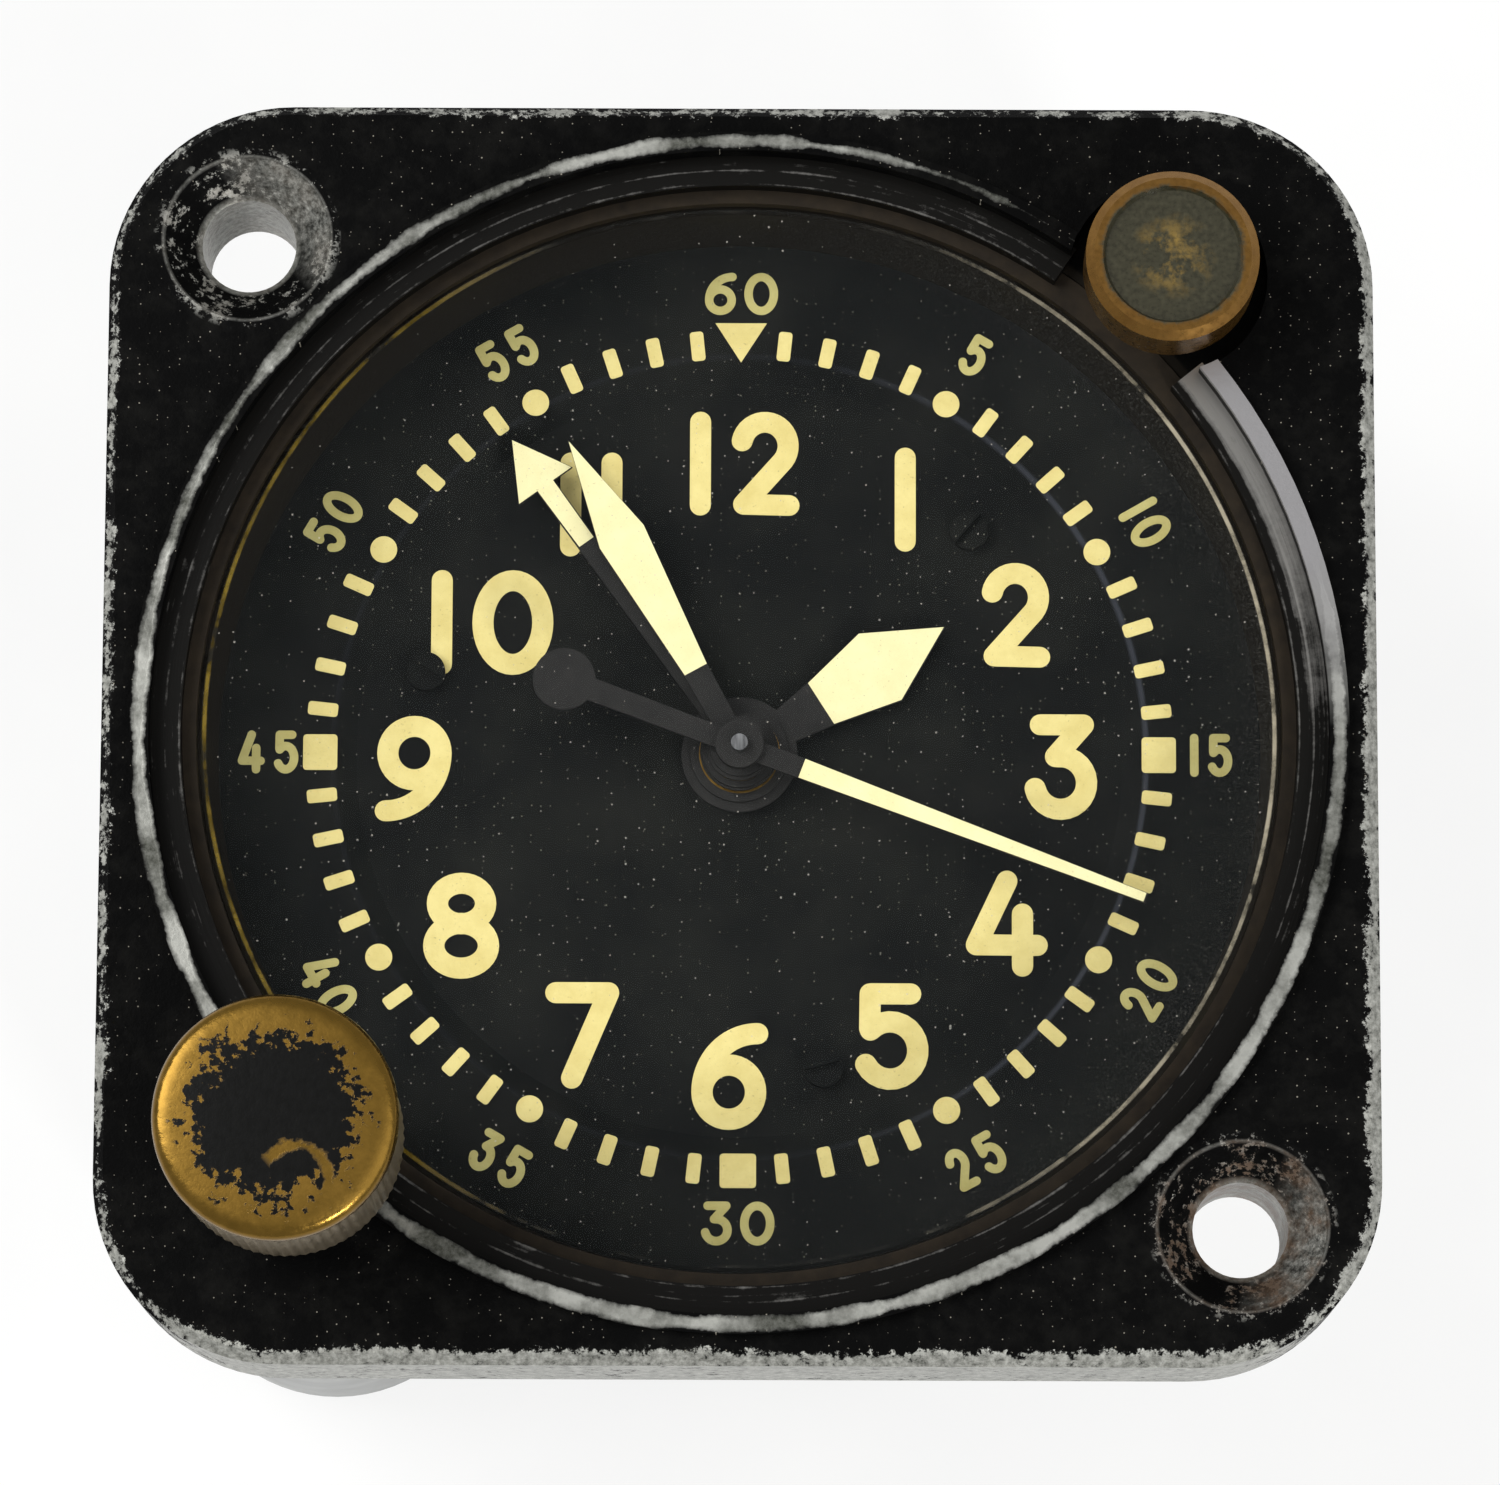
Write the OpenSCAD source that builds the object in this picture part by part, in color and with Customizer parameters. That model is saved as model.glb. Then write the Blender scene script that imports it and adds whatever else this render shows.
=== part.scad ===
// Panel clock for a light aircraft, in millimetres.
// Origin: middle of the rear cover's outer face. +Z leaves the dial, +Y is 12 o'clock, +X is 3 o'clock.

/* [Flange] */
// side of the square flange
flange_side = 60.3; // [60.3:0.05:61.5]
// rounding of the flange corners
corner_r = 8.75; // [8:0.25:10]
// break of the flange's front edge
edge_break = 0.5; // [0.3:0.1:0.8]
// circle that the two mounting holes sit on
hole_pcd = 66.7; // [66.2:0.1:67.2]
// mounting hole
hole_d = 4.5; // [4:0.1:5]
// mouth of the countersink
csk_d = 8; // [7.4:0.2:8.6]
// height of the rim bead above the flange face
rim_up = 0.6; // [0.3:0.1:0.9]

/* [Glass] */
// thickness of the glass at its seat
glass_thick = 1.4; // [1.2:0.05:1.4]
// width of the step at the glass's edge
glass_rim = 1.6; // [1.5:0.1:2.1]

/* [Dial] */
// radius where the dial starts to drop to its middle
dial_step_r = 19.7; // [19.4:0.1:20.2]
// radius of the three dial screws
dial_screw_r = 15.7; // [15.3:0.1:16.1]
// diameter of a dial screw's head
dial_screw_d = 1.85; // [1.5:0.05:2]

/* [Hands] */
// length of the hour hand
hour_len = 11.75; // [11:0.25:13]
// length of the minute hand
minute_len = 17.2; // [16:0.2:18]
// length of the elapsed-minute hand
elapsed_len = 18.9; // [17.9:0.1:19]
// length of the sweep hand
sweep_len = 20.8; // [20:0.1:21.5]

/* [Knob] */
// radius of the knob
knob_r = 5.65; // [5:0.05:6.2]
// height of the knob's top above the flange face
knob_up = 12; // [11.6:0.2:13]
// length of the knob's skirt
knob_len = 9.5; // [8.5:0.25:9.5]

/* [Button] */
// radius of the button's cap
button_r = 4.1; // [3.8:0.05:4.3]
// height of the button's top above the flange face
button_up = 4.6; // [4.2:0.1:5.2]

/* [Case] */
// wall of the case can
can_wall = 1; // [0.9:0.05:1.2]
// thickness of the rear cover
cover_thick = 1.5; // [1.3:0.1:1.5]

/* [Hidden] */
$fn = 96;

// main planes
z_face = 44.45;
z_back = 36.51;
z_seat = 40.85;
z_lip = 36.85;
z_glass = z_seat + glass_thick;
half = flange_side / 2;
// inside of the rim bead, and inside of the flange and can behind it
opening_r = half - 2.3;
bore_r = opening_r - 2.25;
// depth of the pocket that the can's mouth sits in
mouth_in = 0.5;
// inside of the can's lobe behind the knob
lobe_r = 7.2;
hole_at = hole_pcd / 2 / sqrt(2);

// plan places
knob_at = [9.25 - half, 10.15 - half];
button_at = [half - 9.8, half - 8.3];
knob_far = norm(knob_at);
knob_dir = atan2(knob_at[1], knob_at[0]);
button_far = norm(button_at);
button_dir = atan2(button_at[1], button_at[0]);
function polar(r, a) = [r * cos(a), r * sin(a)];
barrel_at = polar(knob_far - 15, knob_dir);
barrel_far = knob_far - 15;
second_dir = knob_dir - acos((8.4 * 8.4 + barrel_far * barrel_far - 144) / (16.8 * barrel_far));
second_at = polar(8.4, second_dir);
third_at = polar(7.56, 30);
fourth_at = third_at + polar(7.395, -30);
escape_at = fourth_at + polar(7.15, -125);
pallet_at = escape_at + polar(3.5, -70);
balance_at = escape_at + polar(8.2, -70);
minute_at = polar(8.64, knob_dir);
setting_at = polar(20.88, knob_dir);
recorder_at = polar(8.2, 97);
fourth_far = norm(fourth_at);
fourth_dir = atan2(fourth_at[1], fourth_at[0]);
idler_at = polar(fourth_far / 2, fourth_dir)
  + polar(sqrt(6.6 * 6.6 - fourth_far * fourth_far / 4), fourth_dir + 90);
cock_at = balance_at + polar(9.2, 200);
click_at = barrel_at + polar(13, 110);
guide_at = polar(22.6, knob_dir);
dial_screw_at = [for (a = [45, 165, 285]) polar(dial_screw_r, a)];
pillar_at = [for (a = [0, 90, 180, 270]) polar(bore_r - 3.1, a)];
cover_screw_at = [for (a = [0, 90, 180, 270]) polar(bore_r - 1.4, a)];

// gear modules
rec_m1 = 8.2 / 54;
rec_m2 = 8.2 / 51;

// phase that lets wheel b mesh with wheel a, seen from a along dir
function mesh_turn(turn_a, teeth_a, teeth_b, dir) =
  dir + 180 - 360 / teeth_b * ((turn_a - dir) * teeth_a / 360 + 0.5);
function dir_of(a, b) = atan2(b[1] - a[1], b[0] - a[0]);

// phases of the trains
stem_turn = mesh_turn(0, 40, 20, knob_dir);
second_turn = mesh_turn(0, 80, 16, dir_of(barrel_at, second_at));
centre_turn = mesh_turn(0, 72, 12, dir_of(second_at, [0, 0]));
third_turn = mesh_turn(0, 96, 12, 30);
fourth_turn = mesh_turn(0, 90, 12, -30);
escape_turn = mesh_turn(0, 100, 10, -125);
minute_turn = mesh_turn(0, 12, 36, knob_dir);
hour_turn = mesh_turn(0, 12, 48, knob_dir + 180);
setting_turn = mesh_turn(minute_turn, 36, 32, knob_dir);
rec_turn = mesh_turn(0, 12, 96, 97);
elapsed_turn = mesh_turn(0, 12, 90, 277);
idler_turn = mesh_turn(0, 48, 40, dir_of(fourth_at, idler_at));
sweep_turn = mesh_turn(idler_turn, 40, 48, dir_of(idler_at, [0, 0]));

// shared shapes
module rod(r, z0, z1) {
  translate([0, 0, z0]) cylinder(r = r, h = z1 - z0);
}

module at(p) {
  translate([p[0], p[1], 0]) children();
}

module tube(ro, ri, z0, z1) {
  difference() {
    rod(ro, z0, z1);
    rod(ri, z0 - 1, z1 + 1);
  }
}

// stub involute tooth: half its angle at radius r
function inv(a) = tan(a) * 180 / PI - a;
function half_at(r, teeth, rp) = 90 / teeth - 0.025 / rp * 180 / PI + inv(25)
  - (r > rp * cos(25) ? inv(acos(rp * cos(25) / r)) : 0);

module gear(teeth, m, z0, z1, bore = 0, turn = 0) {
  rp = teeth * m / 2;
  radii = [rp - 1.2 * m, rp, rp + 0.8 * m, rp + 0.8 * m, rp, rp - 1.2 * m];
  translate([0, 0, z0]) linear_extrude(z1 - z0) difference() {
    polygon([for (i = [0 : teeth - 1]) for (k = [0 : 5])
      polar(radii[k], turn + i * 360 / teeth + (k < 3 ? -1 : 1) * half_at(radii[k], teeth, rp))]);
    if (bore > 0) circle(bore);
  }
}

// flat spiral strip
module spiral(r0, r1, turns, w, z0, z1, start = 0) {
  n = round(turns * 20);
  function rr(i) = r0 + (r1 - r0) * i / n;
  translate([0, 0, z0]) linear_extrude(z1 - z0) polygon(concat(
    [for (i = [0 : n]) polar(rr(i), start + i * 360 * turns / n)],
    [for (i = [n : -1 : 0]) polar(rr(i) + w, start + i * 360 * turns / n)]));
}

// slotted screw pointing up from a head below it
module screw_up(head_r, head_z0, head_z1, shank_r, z1) {
  difference() {
    union() {
      rod(head_r, head_z0, head_z1);
      rod(shank_r, head_z1 - 0.1, z1);
    }
    translate([-head_r - 1, -0.15, head_z0 - 1]) cube([2 * head_r + 2, 0.3, 1.3]);
  }
}

// square block with rounded corners and a broken front edge
module flange_block(z0, z1) {
  a = half;
  c = edge_break;
  s = a - corner_r;
  shape = [[-a, z0], [a, z0], [a, z1 - c], [a - c, z1], [c - a, z1], [-a, z1 - c]];
  translate([0, s, 0]) rotate([90, 0, 0]) linear_extrude(2 * s) polygon(shape);
  rotate(90) translate([0, s, 0]) rotate([90, 0, 0]) linear_extrude(2 * s) polygon(shape);
  for (x = [-s, s]) for (y = [-s, s]) translate([x, y, 0]) rotate_extrude()
    polygon([[0, z0], [corner_r, z0], [corner_r, z1 - c], [corner_r - c, z1], [0, z1]]);
}

// case

// cast flange with the glass seat, the rim bead and the spigot for the can
module bezel_flange() {
  color("#1c1c1c") difference() {
    union() {
      difference() {
        flange_block(z_back, z_face);
        translate([0, 0, z_back - 1]) linear_extrude(1 + mouth_in) {
          circle(bore_r + 1.75);
          translate(knob_at) circle(lobe_r + 0.05 + can_wall);
          translate(button_at) circle(4.55 + can_wall);
          for (a = [15, 135, 255]) translate(polar(bore_r + 1.4, a)) circle(1.9);
        }
      }
      rod(opening_r + 0.9, z_face - 0.5, z_face + rim_up);
      rod(bore_r + 0.8, 33.5, z_back + 2);
    }
    rod(opening_r, z_face - 0.6, z_face + 5);
    rod(opening_r + 0.5, 42.95, z_face - 0.55);
    rod(opening_r - 0.65, z_seat, 43);
    translate([0, 0, z_lip - 0.01]) cylinder(r1 = bore_r - 0.5, r2 = bore_r + 0.1, h = z_seat - z_lip + 0.02);
    rod(bore_r, 33, z_lip);
    for (s = [-1, 1]) translate([s * hole_at, -s * hole_at, 0]) {
      rod(hole_d / 2, 30, 50);
      translate([0, 0, z_face - (csk_d - hole_d) / 2])
        cylinder(r1 = hole_d / 2, r2 = csk_d / 2 + 0.05, h = (csk_d - hole_d) / 2 + 0.05);
    }
    at(button_at) {
      rod(4.75, z_face - 1.65, z_face + 5);
      rod(1.3, 30, 50);
      rod(1.8, 30, 40.2);
    }
    at(knob_at) {
      rod(1.3, 30, 50);
      rod(2.2, 30, 40.2);
    }
    for (a = [15, 135, 255]) rotate(a) translate([bore_r - 5.6, 0, 35]) rotate([0, 90, 0])
      cylinder(r = 0.72, h = 6.9);
  }
}

// flat glass with a stepped edge
module glass() {
  color("#dfe8e4") {
    union() {
      rod(opening_r - 0.75, z_seat, z_glass);
      rod(opening_r - 0.75 - glass_rim, z_glass - 0.1, z_glass + 0.5);
    }
  }
}

module glass_gasket() {
  color("#3a2f26") tube(opening_r - 0.7, opening_r - 2.1, z_glass, 42.95);
}

// split spring ring that holds the glass, open at the button
module snap_ring() {
  color("#202020") translate([0, 0, 42.95]) linear_extrude(0.9) difference() {
    circle(opening_r + 0.45);
    circle(opening_r - 1.45);
    polygon([[0, 0], polar(40, 39), polar(40, 55.5)]);
    translate(knob_at) circle(1.35);
  }
}

// drawn can with a lobe behind the knob and a lobe behind the button
module case_can() {
  color("#a9a9a4") difference() {
    union() {
      difference() {
        union() {
          rod(bore_r + can_wall, 2, z_back + mouth_in);
          rod(bore_r + 1.7, 32.5, z_back + mouth_in);
          at(knob_at) rod(lobe_r + can_wall, 3, z_back + mouth_in);
          at(button_at) rod(4.5 + can_wall, 7, z_back + mouth_in);
        }
        difference() {
          rod(bore_r, 1, 40);
          tube(bore_r + 0.4, bore_r - 0.7, 29.2, 30.2);
        }
        rod(bore_r + 0.85, 33, 40);
        at(knob_at) rod(lobe_r, 4, 40);
        at(button_at) difference() {
          rod(4.5, 8, 40);
          rod(6, 18, 19.5);
        }
      }
      for (p = cover_screw_at) at(p) rod(1.6, 2, 8);
      at(knob_at) rod(2.2, 3.5, 8);
    }
    for (p = cover_screw_at) at(p) rod(0.65, 1, 6.5);
    at(knob_at) rod(1.15, 4, 9);
    at(button_at) rod(1.2, 10, 25);
    for (a = [15, 135, 255]) rotate(a) translate([bore_r + 0.4, 0, 35]) rotate([0, 90, 0])
      cylinder(r = 0.72, h = 3);
  }
}

// radial screws between can and flange
module case_screws() {
  color("#8d8f91") for (a = [15, 135, 255]) rotate(a) translate([bore_r + 0.1, 0, 35]) rotate([0, 90, 0])
    difference() {
      union() {
        cylinder(r = 0.7, h = 2);
        translate([0, 0, 1.6]) cylinder(r = 1.3, h = 0.9);
      }
      translate([-2, -0.15, 2.1]) cube([4, 0.3, 1]);
    }
}

module rear_gasket() {
  color("#2a2a28") difference() {
    tube(bore_r + can_wall, bore_r - 3.2, cover_thick, 2);
    for (p = cover_screw_at) at(p) rod(0.7, 0, 3);
  }
}

module rear_cover() {
  color("#25262a") difference() {
    rod(bore_r + can_wall, 0, cover_thick);
    for (p = cover_screw_at) at(p) {
      rod(0.7, -1, 3);
      rod(1.35, -1, 0.9);
    }
  }
}

module rear_cover_screws() {
  color("#8d8f91") for (p = cover_screw_at) at(p) screw_up(1.3, 0.1, 0.9, 0.6, 6.3);
}

module knob_bushing() {
  color("#a58a4a") at(knob_at) tube(2.2, 1.13, 33.9, 40.2);
}

module button_bushing() {
  color("#a58a4a") at(button_at) tube(1.8, 1.03, 33.9, 40.2);
}

// ring between the front plate and the dial
module movement_ring() {
  color("#a9abac") difference() {
    tube(bore_r - 0.1, bore_r - 1.6, 32.1, 36.35);
    at(setting_at) rod(6.5, 30, 34);
  }
}

// dial and hands

module dial() {
  color("#161616") difference() {
    rotate_extrude() polygon([[2.1, 35.5], [dial_step_r - 1.4, 35.5], [dial_step_r - 0.2, 36.35], [bore_r - 0.1, 36.35],
      [bore_r - 0.1, z_lip], [dial_step_r, z_lip], [dial_step_r - 1.2, 36], [2.1, 36]]);
    for (p = dial_screw_at) at(p) rod(0.55, 30, 40);
  }
}

module dial_screws() {
  color("#1b1b1b") for (i = [0 : 2]) at(dial_screw_at[i]) difference() {
    union() {
      rod(0.48, 33.6, 36.1);
      rod(dial_screw_d / 2, 36, 36.55);
    }
    rotate([50, -35, 15][i]) translate([-2, -0.15, 36.3]) cube([4, 0.3, 1]);
  }
}

// flat hand blade drawn along 12 o'clock and turned clockwise
module blade(cw, z0, pts) {
  rotate(-cw) translate([0, 0, z0]) linear_extrude(0.2) polygon(pts);
}

module hour_hand() {
  color("#3b3b3a") difference() {
    union() {
      blade(57.5, 36.45, [[0, hour_len], [1.95, hour_len - 3.7], [1.2, 4.6], [0.85, 2.4], [0.85, 0], [-0.85, 0],
        [-0.85, 2.4], [-1.2, 4.6], [-1.95, hour_len - 3.7]]);
      rod(2.8, 36.45, 36.65);
      rod(2.35, 36.45, 36.95);
    }
    rod(1.95, 30, 40);
  }
}

module elapsed_hand() {
  color("#3b3b3a") difference() {
    union() {
      blade(324, 37.35, [[0, elapsed_len], [1.6, elapsed_len - 2.85], [0.5, elapsed_len - 2.85], [0.45, 0],
        [-0.45, 0], [-0.5, elapsed_len - 2.85], [-1.6, elapsed_len - 2.85]]);
      rod(1.9, 37.35, 37.55);
      rod(1.8, 37.35, 37.85);
    }
    rod(1.5, 30, 40);
  }
}

module minute_hand() {
  color("#3b3b3a") difference() {
    union() {
      blade(331, 38.3, [[0, minute_len], [1.22, minute_len - 5.4], [0.62, 4.3], [0.55, 0], [-0.55, 0], [-0.62, 4.3],
        [-1.22, minute_len - 5.4]]);
      rod(1.56, 38.3, 38.5);
      rod(1.4, 38.3, 38.75);
    }
    rod(1.1, 30, 40);
  }
}

module sweep_hand() {
  color("#3b3b3a") difference() {
    union() {
      rotate(-110.7) translate([0, 0, 39.2]) linear_extrude(0.2) {
        polygon([[0.25, sweep_len], [0.5, 3], [0.55, -8], [-0.55, -8], [-0.5, 3], [-0.25, sweep_len]]);
        translate([0, -9]) circle(1.5);
      }
      rod(1.15, 39.1, 39.75);
    }
    rod(0.4, 30, 45);
  }
}

// motion work

module hour_wheel() {
  color("#b08d3f") difference() {
    union() {
      gear(48, 0.288, 34.4, 35.1, 1.55, hour_turn);
      rod(1.95, 34.4, 37);
    }
    rod(1.55, 30, 40);
  }
}

module minute_wheel() {
  color("#b08d3f") at(minute_at) {
    gear(36, 0.36, 32.4, 33.1, 0, minute_turn);
    rod(0.8, 33, 34.4);
    gear(12, 0.288, 34.35, 35.1, 0, 0);
    rod(0.35, 30.6, 32.5);
  }
}

module setting_wheel() {
  color("#b08d3f") at(setting_at) {
    gear(32, 0.36, 32.4, 33.1, 0, setting_turn);
    rod(0.5, 30.6, 32.5);
  }
}

module cannon_pinion() {
  color("#9a9c9e") difference() {
    union() {
      gear(12, 0.36, 32.4, 33.1, 0.78, 0);
      rod(1.1, 32.3, 38.75);
    }
    rod(0.78, 30, 40);
  }
}

// sweep and elapsed work

module recorder_wheel() {
  color("#b08d3f") difference() {
    union() {
      gear(90, rec_m2, 33.4, 34.1, 1.15, elapsed_turn);
      rod(1.5, 33.4, 37.85);
    }
    rod(1.15, 30, 40);
  }
}

module recorder_idler() {
  color("#b08d3f") at(recorder_at) {
    gear(96, rec_m1, 12.3, 12.8, 0, rec_turn);
    rod(0.4, 12.3, 34);
    gear(12, rec_m2, 33.4, 34.1, 0, 0);
  }
}

module sweep_arbor() {
  color("#9a9c9e") {
    rod(0.4, 7.2, 40.25);
    gear(12, rec_m1, 12, 13.1, 0, 0);
  }
}

// heart-shaped reset cam
module heart_cam() {
  color("#9a9c9e") translate([0, 0, 8.6]) linear_extrude(1) difference() {
    polygon([for (i = [0 : 47]) let(a = i * 7.5) polar(1.2 + 2 * abs(a - 180) / 180, button_dir + a)]);
    circle(0.4);
  }
}

module sweep_wheel() {
  color("#b08d3f") gear(48, 0.15, 10.6, 11.1, 0.45, sweep_turn);
}

module sweep_idler() {
  color("#b08d3f") at(idler_at) {
    gear(40, 0.15, 10.6, 11.1, 0, idler_turn);
    rod(0.35, 11, 15);
  }
}

// frame of the movement

module front_plate() {
  color("#c0a25a") difference() {
    union() {
      rod(bore_r - 0.2, 30.2, 32.1);
      for (p = dial_screw_at) at(p) rod(1.3, 32, 35.5);
      at(guide_at) rod(0.6, 24.2, 30.5);
    }
    for (p = dial_screw_at) at(p) rod(0.5, 33.4, 36);
    for (p = pillar_at) at(p) rod(0.92, 30, 33);
    for (p = [third_at, fourth_at, escape_at, pallet_at, balance_at, second_at, minute_at]) at(p) rod(0.37, 30, 33);
    at(setting_at) rod(0.52, 30, 33);
    at(recorder_at) rod(0.5, 30, 33);
    at(barrel_at) rod(0.72, 30, 33);
    rod(0.8, 30, 33);
  }
}

// back plate with two ears for the lever pin
module back_plate() {
  color("#c0a25a") difference() {
    union() {
      rod(bore_r - 1, 13.5, 15.5);
      rotate(button_dir) for (y = [-2.6, 1.6]) translate([20.6, y, 11.2]) cube([2, 1, 2.5]);
    }
    at(knob_at) rod(6, 10, 20);
    for (p = pillar_at) at(p) rod(0.85, 10, 20);
    for (p = [third_at, fourth_at, escape_at, pallet_at, second_at, idler_at]) at(p) rod(0.37, 10, 20);
    at(recorder_at) rod(0.5, 10, 20);
    at(barrel_at) rod(1.25, 10, 20);
    at(balance_at) rod(1.4, 10, 20);
    at(cock_at) rod(0.62, 10, 20);
    at(click_at) rod(0.52, 10, 20);
    rotate(button_dir) {
      for (x = [11.5, 17.5]) translate([x, 0, 0]) rod(0.52, 10, 20);
      translate([21.6, -5, 12.2]) rotate([-90, 0, 0]) cylinder(r = 0.5, h = 10);
    }
    rod(0.8, 10, 20);
  }
}

module pillars() {
  color("#c9b06a") for (p = pillar_at) at(p) difference() {
    union() {
      rod(1.5, 15.5, 30.2);
      rod(0.9, 30, 32);
    }
    rod(0.82, 15, 19.5);
  }
}

module plate_screws() {
  color("#4a5a8a") for (p = pillar_at) at(p) screw_up(1.4, 12.5, 13.5, 0.8, 19.2);
}

// mainspring and its barrel

module mainspring_barrel() {
  color("#b08d3f") at(barrel_at) difference() {
    union() {
      rod(9.3, 16.2, 23);
      gear(80, 0.25, 22.5, 23.5, 0, 0);
    }
    rod(8.7, 16, 22.5);
    rod(1.22, 10, 30);
  }
}

module barrel_cover() {
  color("#b08d3f") at(barrel_at) tube(8.7, 1.22, 16.2, 16.9);
}

module barrel_arbor() {
  color("#9a9c9e") at(barrel_at) {
    rod(1.2, 11, 24.5);
    rod(2, 17.2, 22.2);
    rod(0.7, 24, 31.6);
  }
}

module mainspring() {
  color("#5c6a8f") at(barrel_at) spiral(2.05, 8.3, 7, 0.3, 17.4, 22);
}

module ratchet_wheel() {
  color("#9a9c9e") at(barrel_at) gear(40, 0.5, 11.6, 12.8, 1.2, 0);
}

// click of the ratchet, drawn with its tip just clear of the teeth
module click() {
  color("#9a9c9e") at(barrel_at) rotate(110) difference() {
    union() {
      translate([13, 0, 0]) rod(1.4, 11.7, 12.5);
      translate([0, 0, 11.7]) linear_extrude(0.8)
        polygon([[12, 0.9], [14.1, -0.8], [10.7, -4.3], [9.9, -4.05]]);
    }
    translate([13, 0, 0]) rod(0.82, 10, 20);
  }
}

// going train

module second_wheel() {
  color("#b08d3f") at(second_at) {
    gear(72, 0.2, 24.6, 25.2, 0, 0);
    gear(16, 0.25, 22.3, 23.7, 0, second_turn);
    rod(0.6, 16, 29.5);
    rod(0.32, 14, 31.6);
  }
}

module centre_wheel() {
  color("#b08d3f") difference() {
    union() {
      gear(96, 0.14, 26.2, 26.8, 0.45, 0);
      gear(12, 0.2, 24.4, 25.4, 0.45, centre_turn);
      rod(0.75, 13.7, 38.5);
    }
    rod(0.45, 10, 45);
  }
}

module third_wheel() {
  color("#b08d3f") at(third_at) {
    gear(90, 0.145, 28, 28.5, 0, 0);
    gear(12, 0.14, 26, 27, 0, third_turn);
    rod(0.45, 16, 29.5);
    rod(0.32, 14, 31.6);
  }
}

module fourth_wheel() {
  color("#b08d3f") at(fourth_at) {
    gear(100, 0.13, 22, 22.5, 0, 0);
    gear(12, 0.145, 27.8, 28.7, 0, fourth_turn);
    gear(48, 0.15, 10.6, 11.1, 0, 0);
    rod(0.45, 16, 29.5);
    rod(0.32, 10.8, 31.6);
  }
}

// escapement

module escape_wheel() {
  color("#b08d3f") at(escape_at) {
    translate([0, 0, 17]) linear_extrude(0.6) difference() {
      polygon([for (i = [0 : 14]) for (k = [0 : 3])
        polar([2.3, 2.9, 3, 2.3][k], i * 24 + [0, 7, 10, 9][k])]);
      for (a = [0 : 90 : 270]) translate(polar(1.35, a)) circle(0.5);
    }
    gear(10, 0.13, 21.8, 22.7, 0, escape_turn);
    rod(0.4, 16, 29.5);
    rod(0.32, 14, 31.6);
  }
}

// lever with two pallets and a fork towards the balance
module pallet_fork() {
  color("#9a9c9e") at(pallet_at) {
    rotate(-70) translate([0, 0, 17]) linear_extrude(0.6) {
      circle(0.42);
      polygon([[-0.5, -1.75], [-0.15, -1.75], [0.3, -0.5], [0.3, 0.5], [-0.15, 1.75], [-0.5, 1.75], [-0.4, 0.4],
        [-0.4, -0.4]]);
      polygon([[0, -0.35], [2.6, -0.3], [3.2, -0.75], [3.4, -0.7], [3.0, -0.2], [3.0, 0.2], [3.4, 0.7],
        [3.2, 0.75], [2.6, 0.3], [0, 0.35]]);
    }
    rod(0.4, 16, 29.5);
    rod(0.32, 14, 31.6);
  }
}

module balance_wheel() {
  color("#c2a04c") at(balance_at) difference() {
    union() {
      tube(7, 6.1, 9, 9.9);
      translate([-6.4, -0.6, 9.1]) cube([12.8, 1.2, 0.6]);
      rod(1.3, 9, 9.9);
    }
    rod(0.5, 5, 20);
  }
}

// staff with the roller and its pin
module balance_staff() {
  color("#9a9c9e") at(balance_at) {
    rod(0.5, 7.1, 29.5);
    rod(0.32, 5.6, 31.6);
    rod(1.1, 16.2, 16.8);
    rotate(110) translate([0.85, 0, 0]) rod(0.15, 16.5, 17.6);
  }
}

module hairspring() {
  color("#5c6a8f") at(balance_at) {
    tube(1, 0.5, 7.4, 8.1);
    spiral(0.9, 4.6, 8, 0.12, 7.5, 8, 0);
  }
}

module balance_cock() {
  color("#c0a25a") difference() {
    union() {
      translate([0, 0, 5.2]) linear_extrude(1.6) {
        translate(balance_at) circle(2);
        translate(cock_at) circle(2.2);
        translate(balance_at) rotate(200) translate([0, -1.5]) square([9.2, 3]);
      }
      at(cock_at) rod(2.2, 5.2, 13.5);
      at(balance_at + polar(4.75, 0)) rod(0.4, 6.5, 7.3);
      translate([balance_at[0], balance_at[1] - 0.4, 5.6]) cube([4.75, 0.8, 1]);
    }
    at(balance_at) rod(0.35, 5.5, 8);
    at(cock_at) {
      rod(0.65, 4, 14);
      rod(1.4, 4, 6);
    }
  }
}

// cock screw and the shouldered click screw
module bridge_screws() {
  color("#4a5a8a") {
    at(cock_at) screw_up(1.35, 5.2, 6, 0.6, 15.3);
    at(click_at) {
      screw_up(1.2, 10.9, 11.6, 0.8, 13.5);
      rod(0.5, 13, 15.3);
    }
  }
}

// knob and stem

module knob() {
  color("#a08a5a") at(knob_at) difference() {
    rotate_extrude() polygon([[0, z_face + knob_up - knob_len], [knob_r - 0.15, z_face + knob_up - knob_len],
      [knob_r, z_face + knob_up - 0.7], [knob_r - 0.15, z_face + knob_up - 0.35],
      [knob_r - 0.5, z_face + knob_up - 0.1], [knob_r - 1.2, z_face + knob_up], [0, z_face + knob_up]]);
    rod(1.1, 40, 54);
    translate([0, 0, 50]) rotate([-90, 0, 0]) cylinder(r = 0.8, h = 8);
  }
}

module knob_screw() {
  color("#4a4a4a") at(knob_at) translate([0, 1.1, 50]) rotate([-90, 0, 0]) difference() {
    cylinder(r = 0.8, h = 3.4);
    translate([-1, -0.15, 2.9]) cube([2, 0.3, 1]);
  }
}

// stem with the winding pinion, the setting pinion and two collars for the yoke
module winding_stem() {
  color("#9a9c9e") at(knob_at) {
    rod(1.1, 4.5, 54);
    gear(20, 0.5, 11.2, 13.2, 0, stem_turn);
    gear(12, 0.36, 29, 30.25, 0, 0);
    rod(1.9, 24.3, 24.9);
    rod(1.9, 26.1, 26.7);
  }
}

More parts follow.
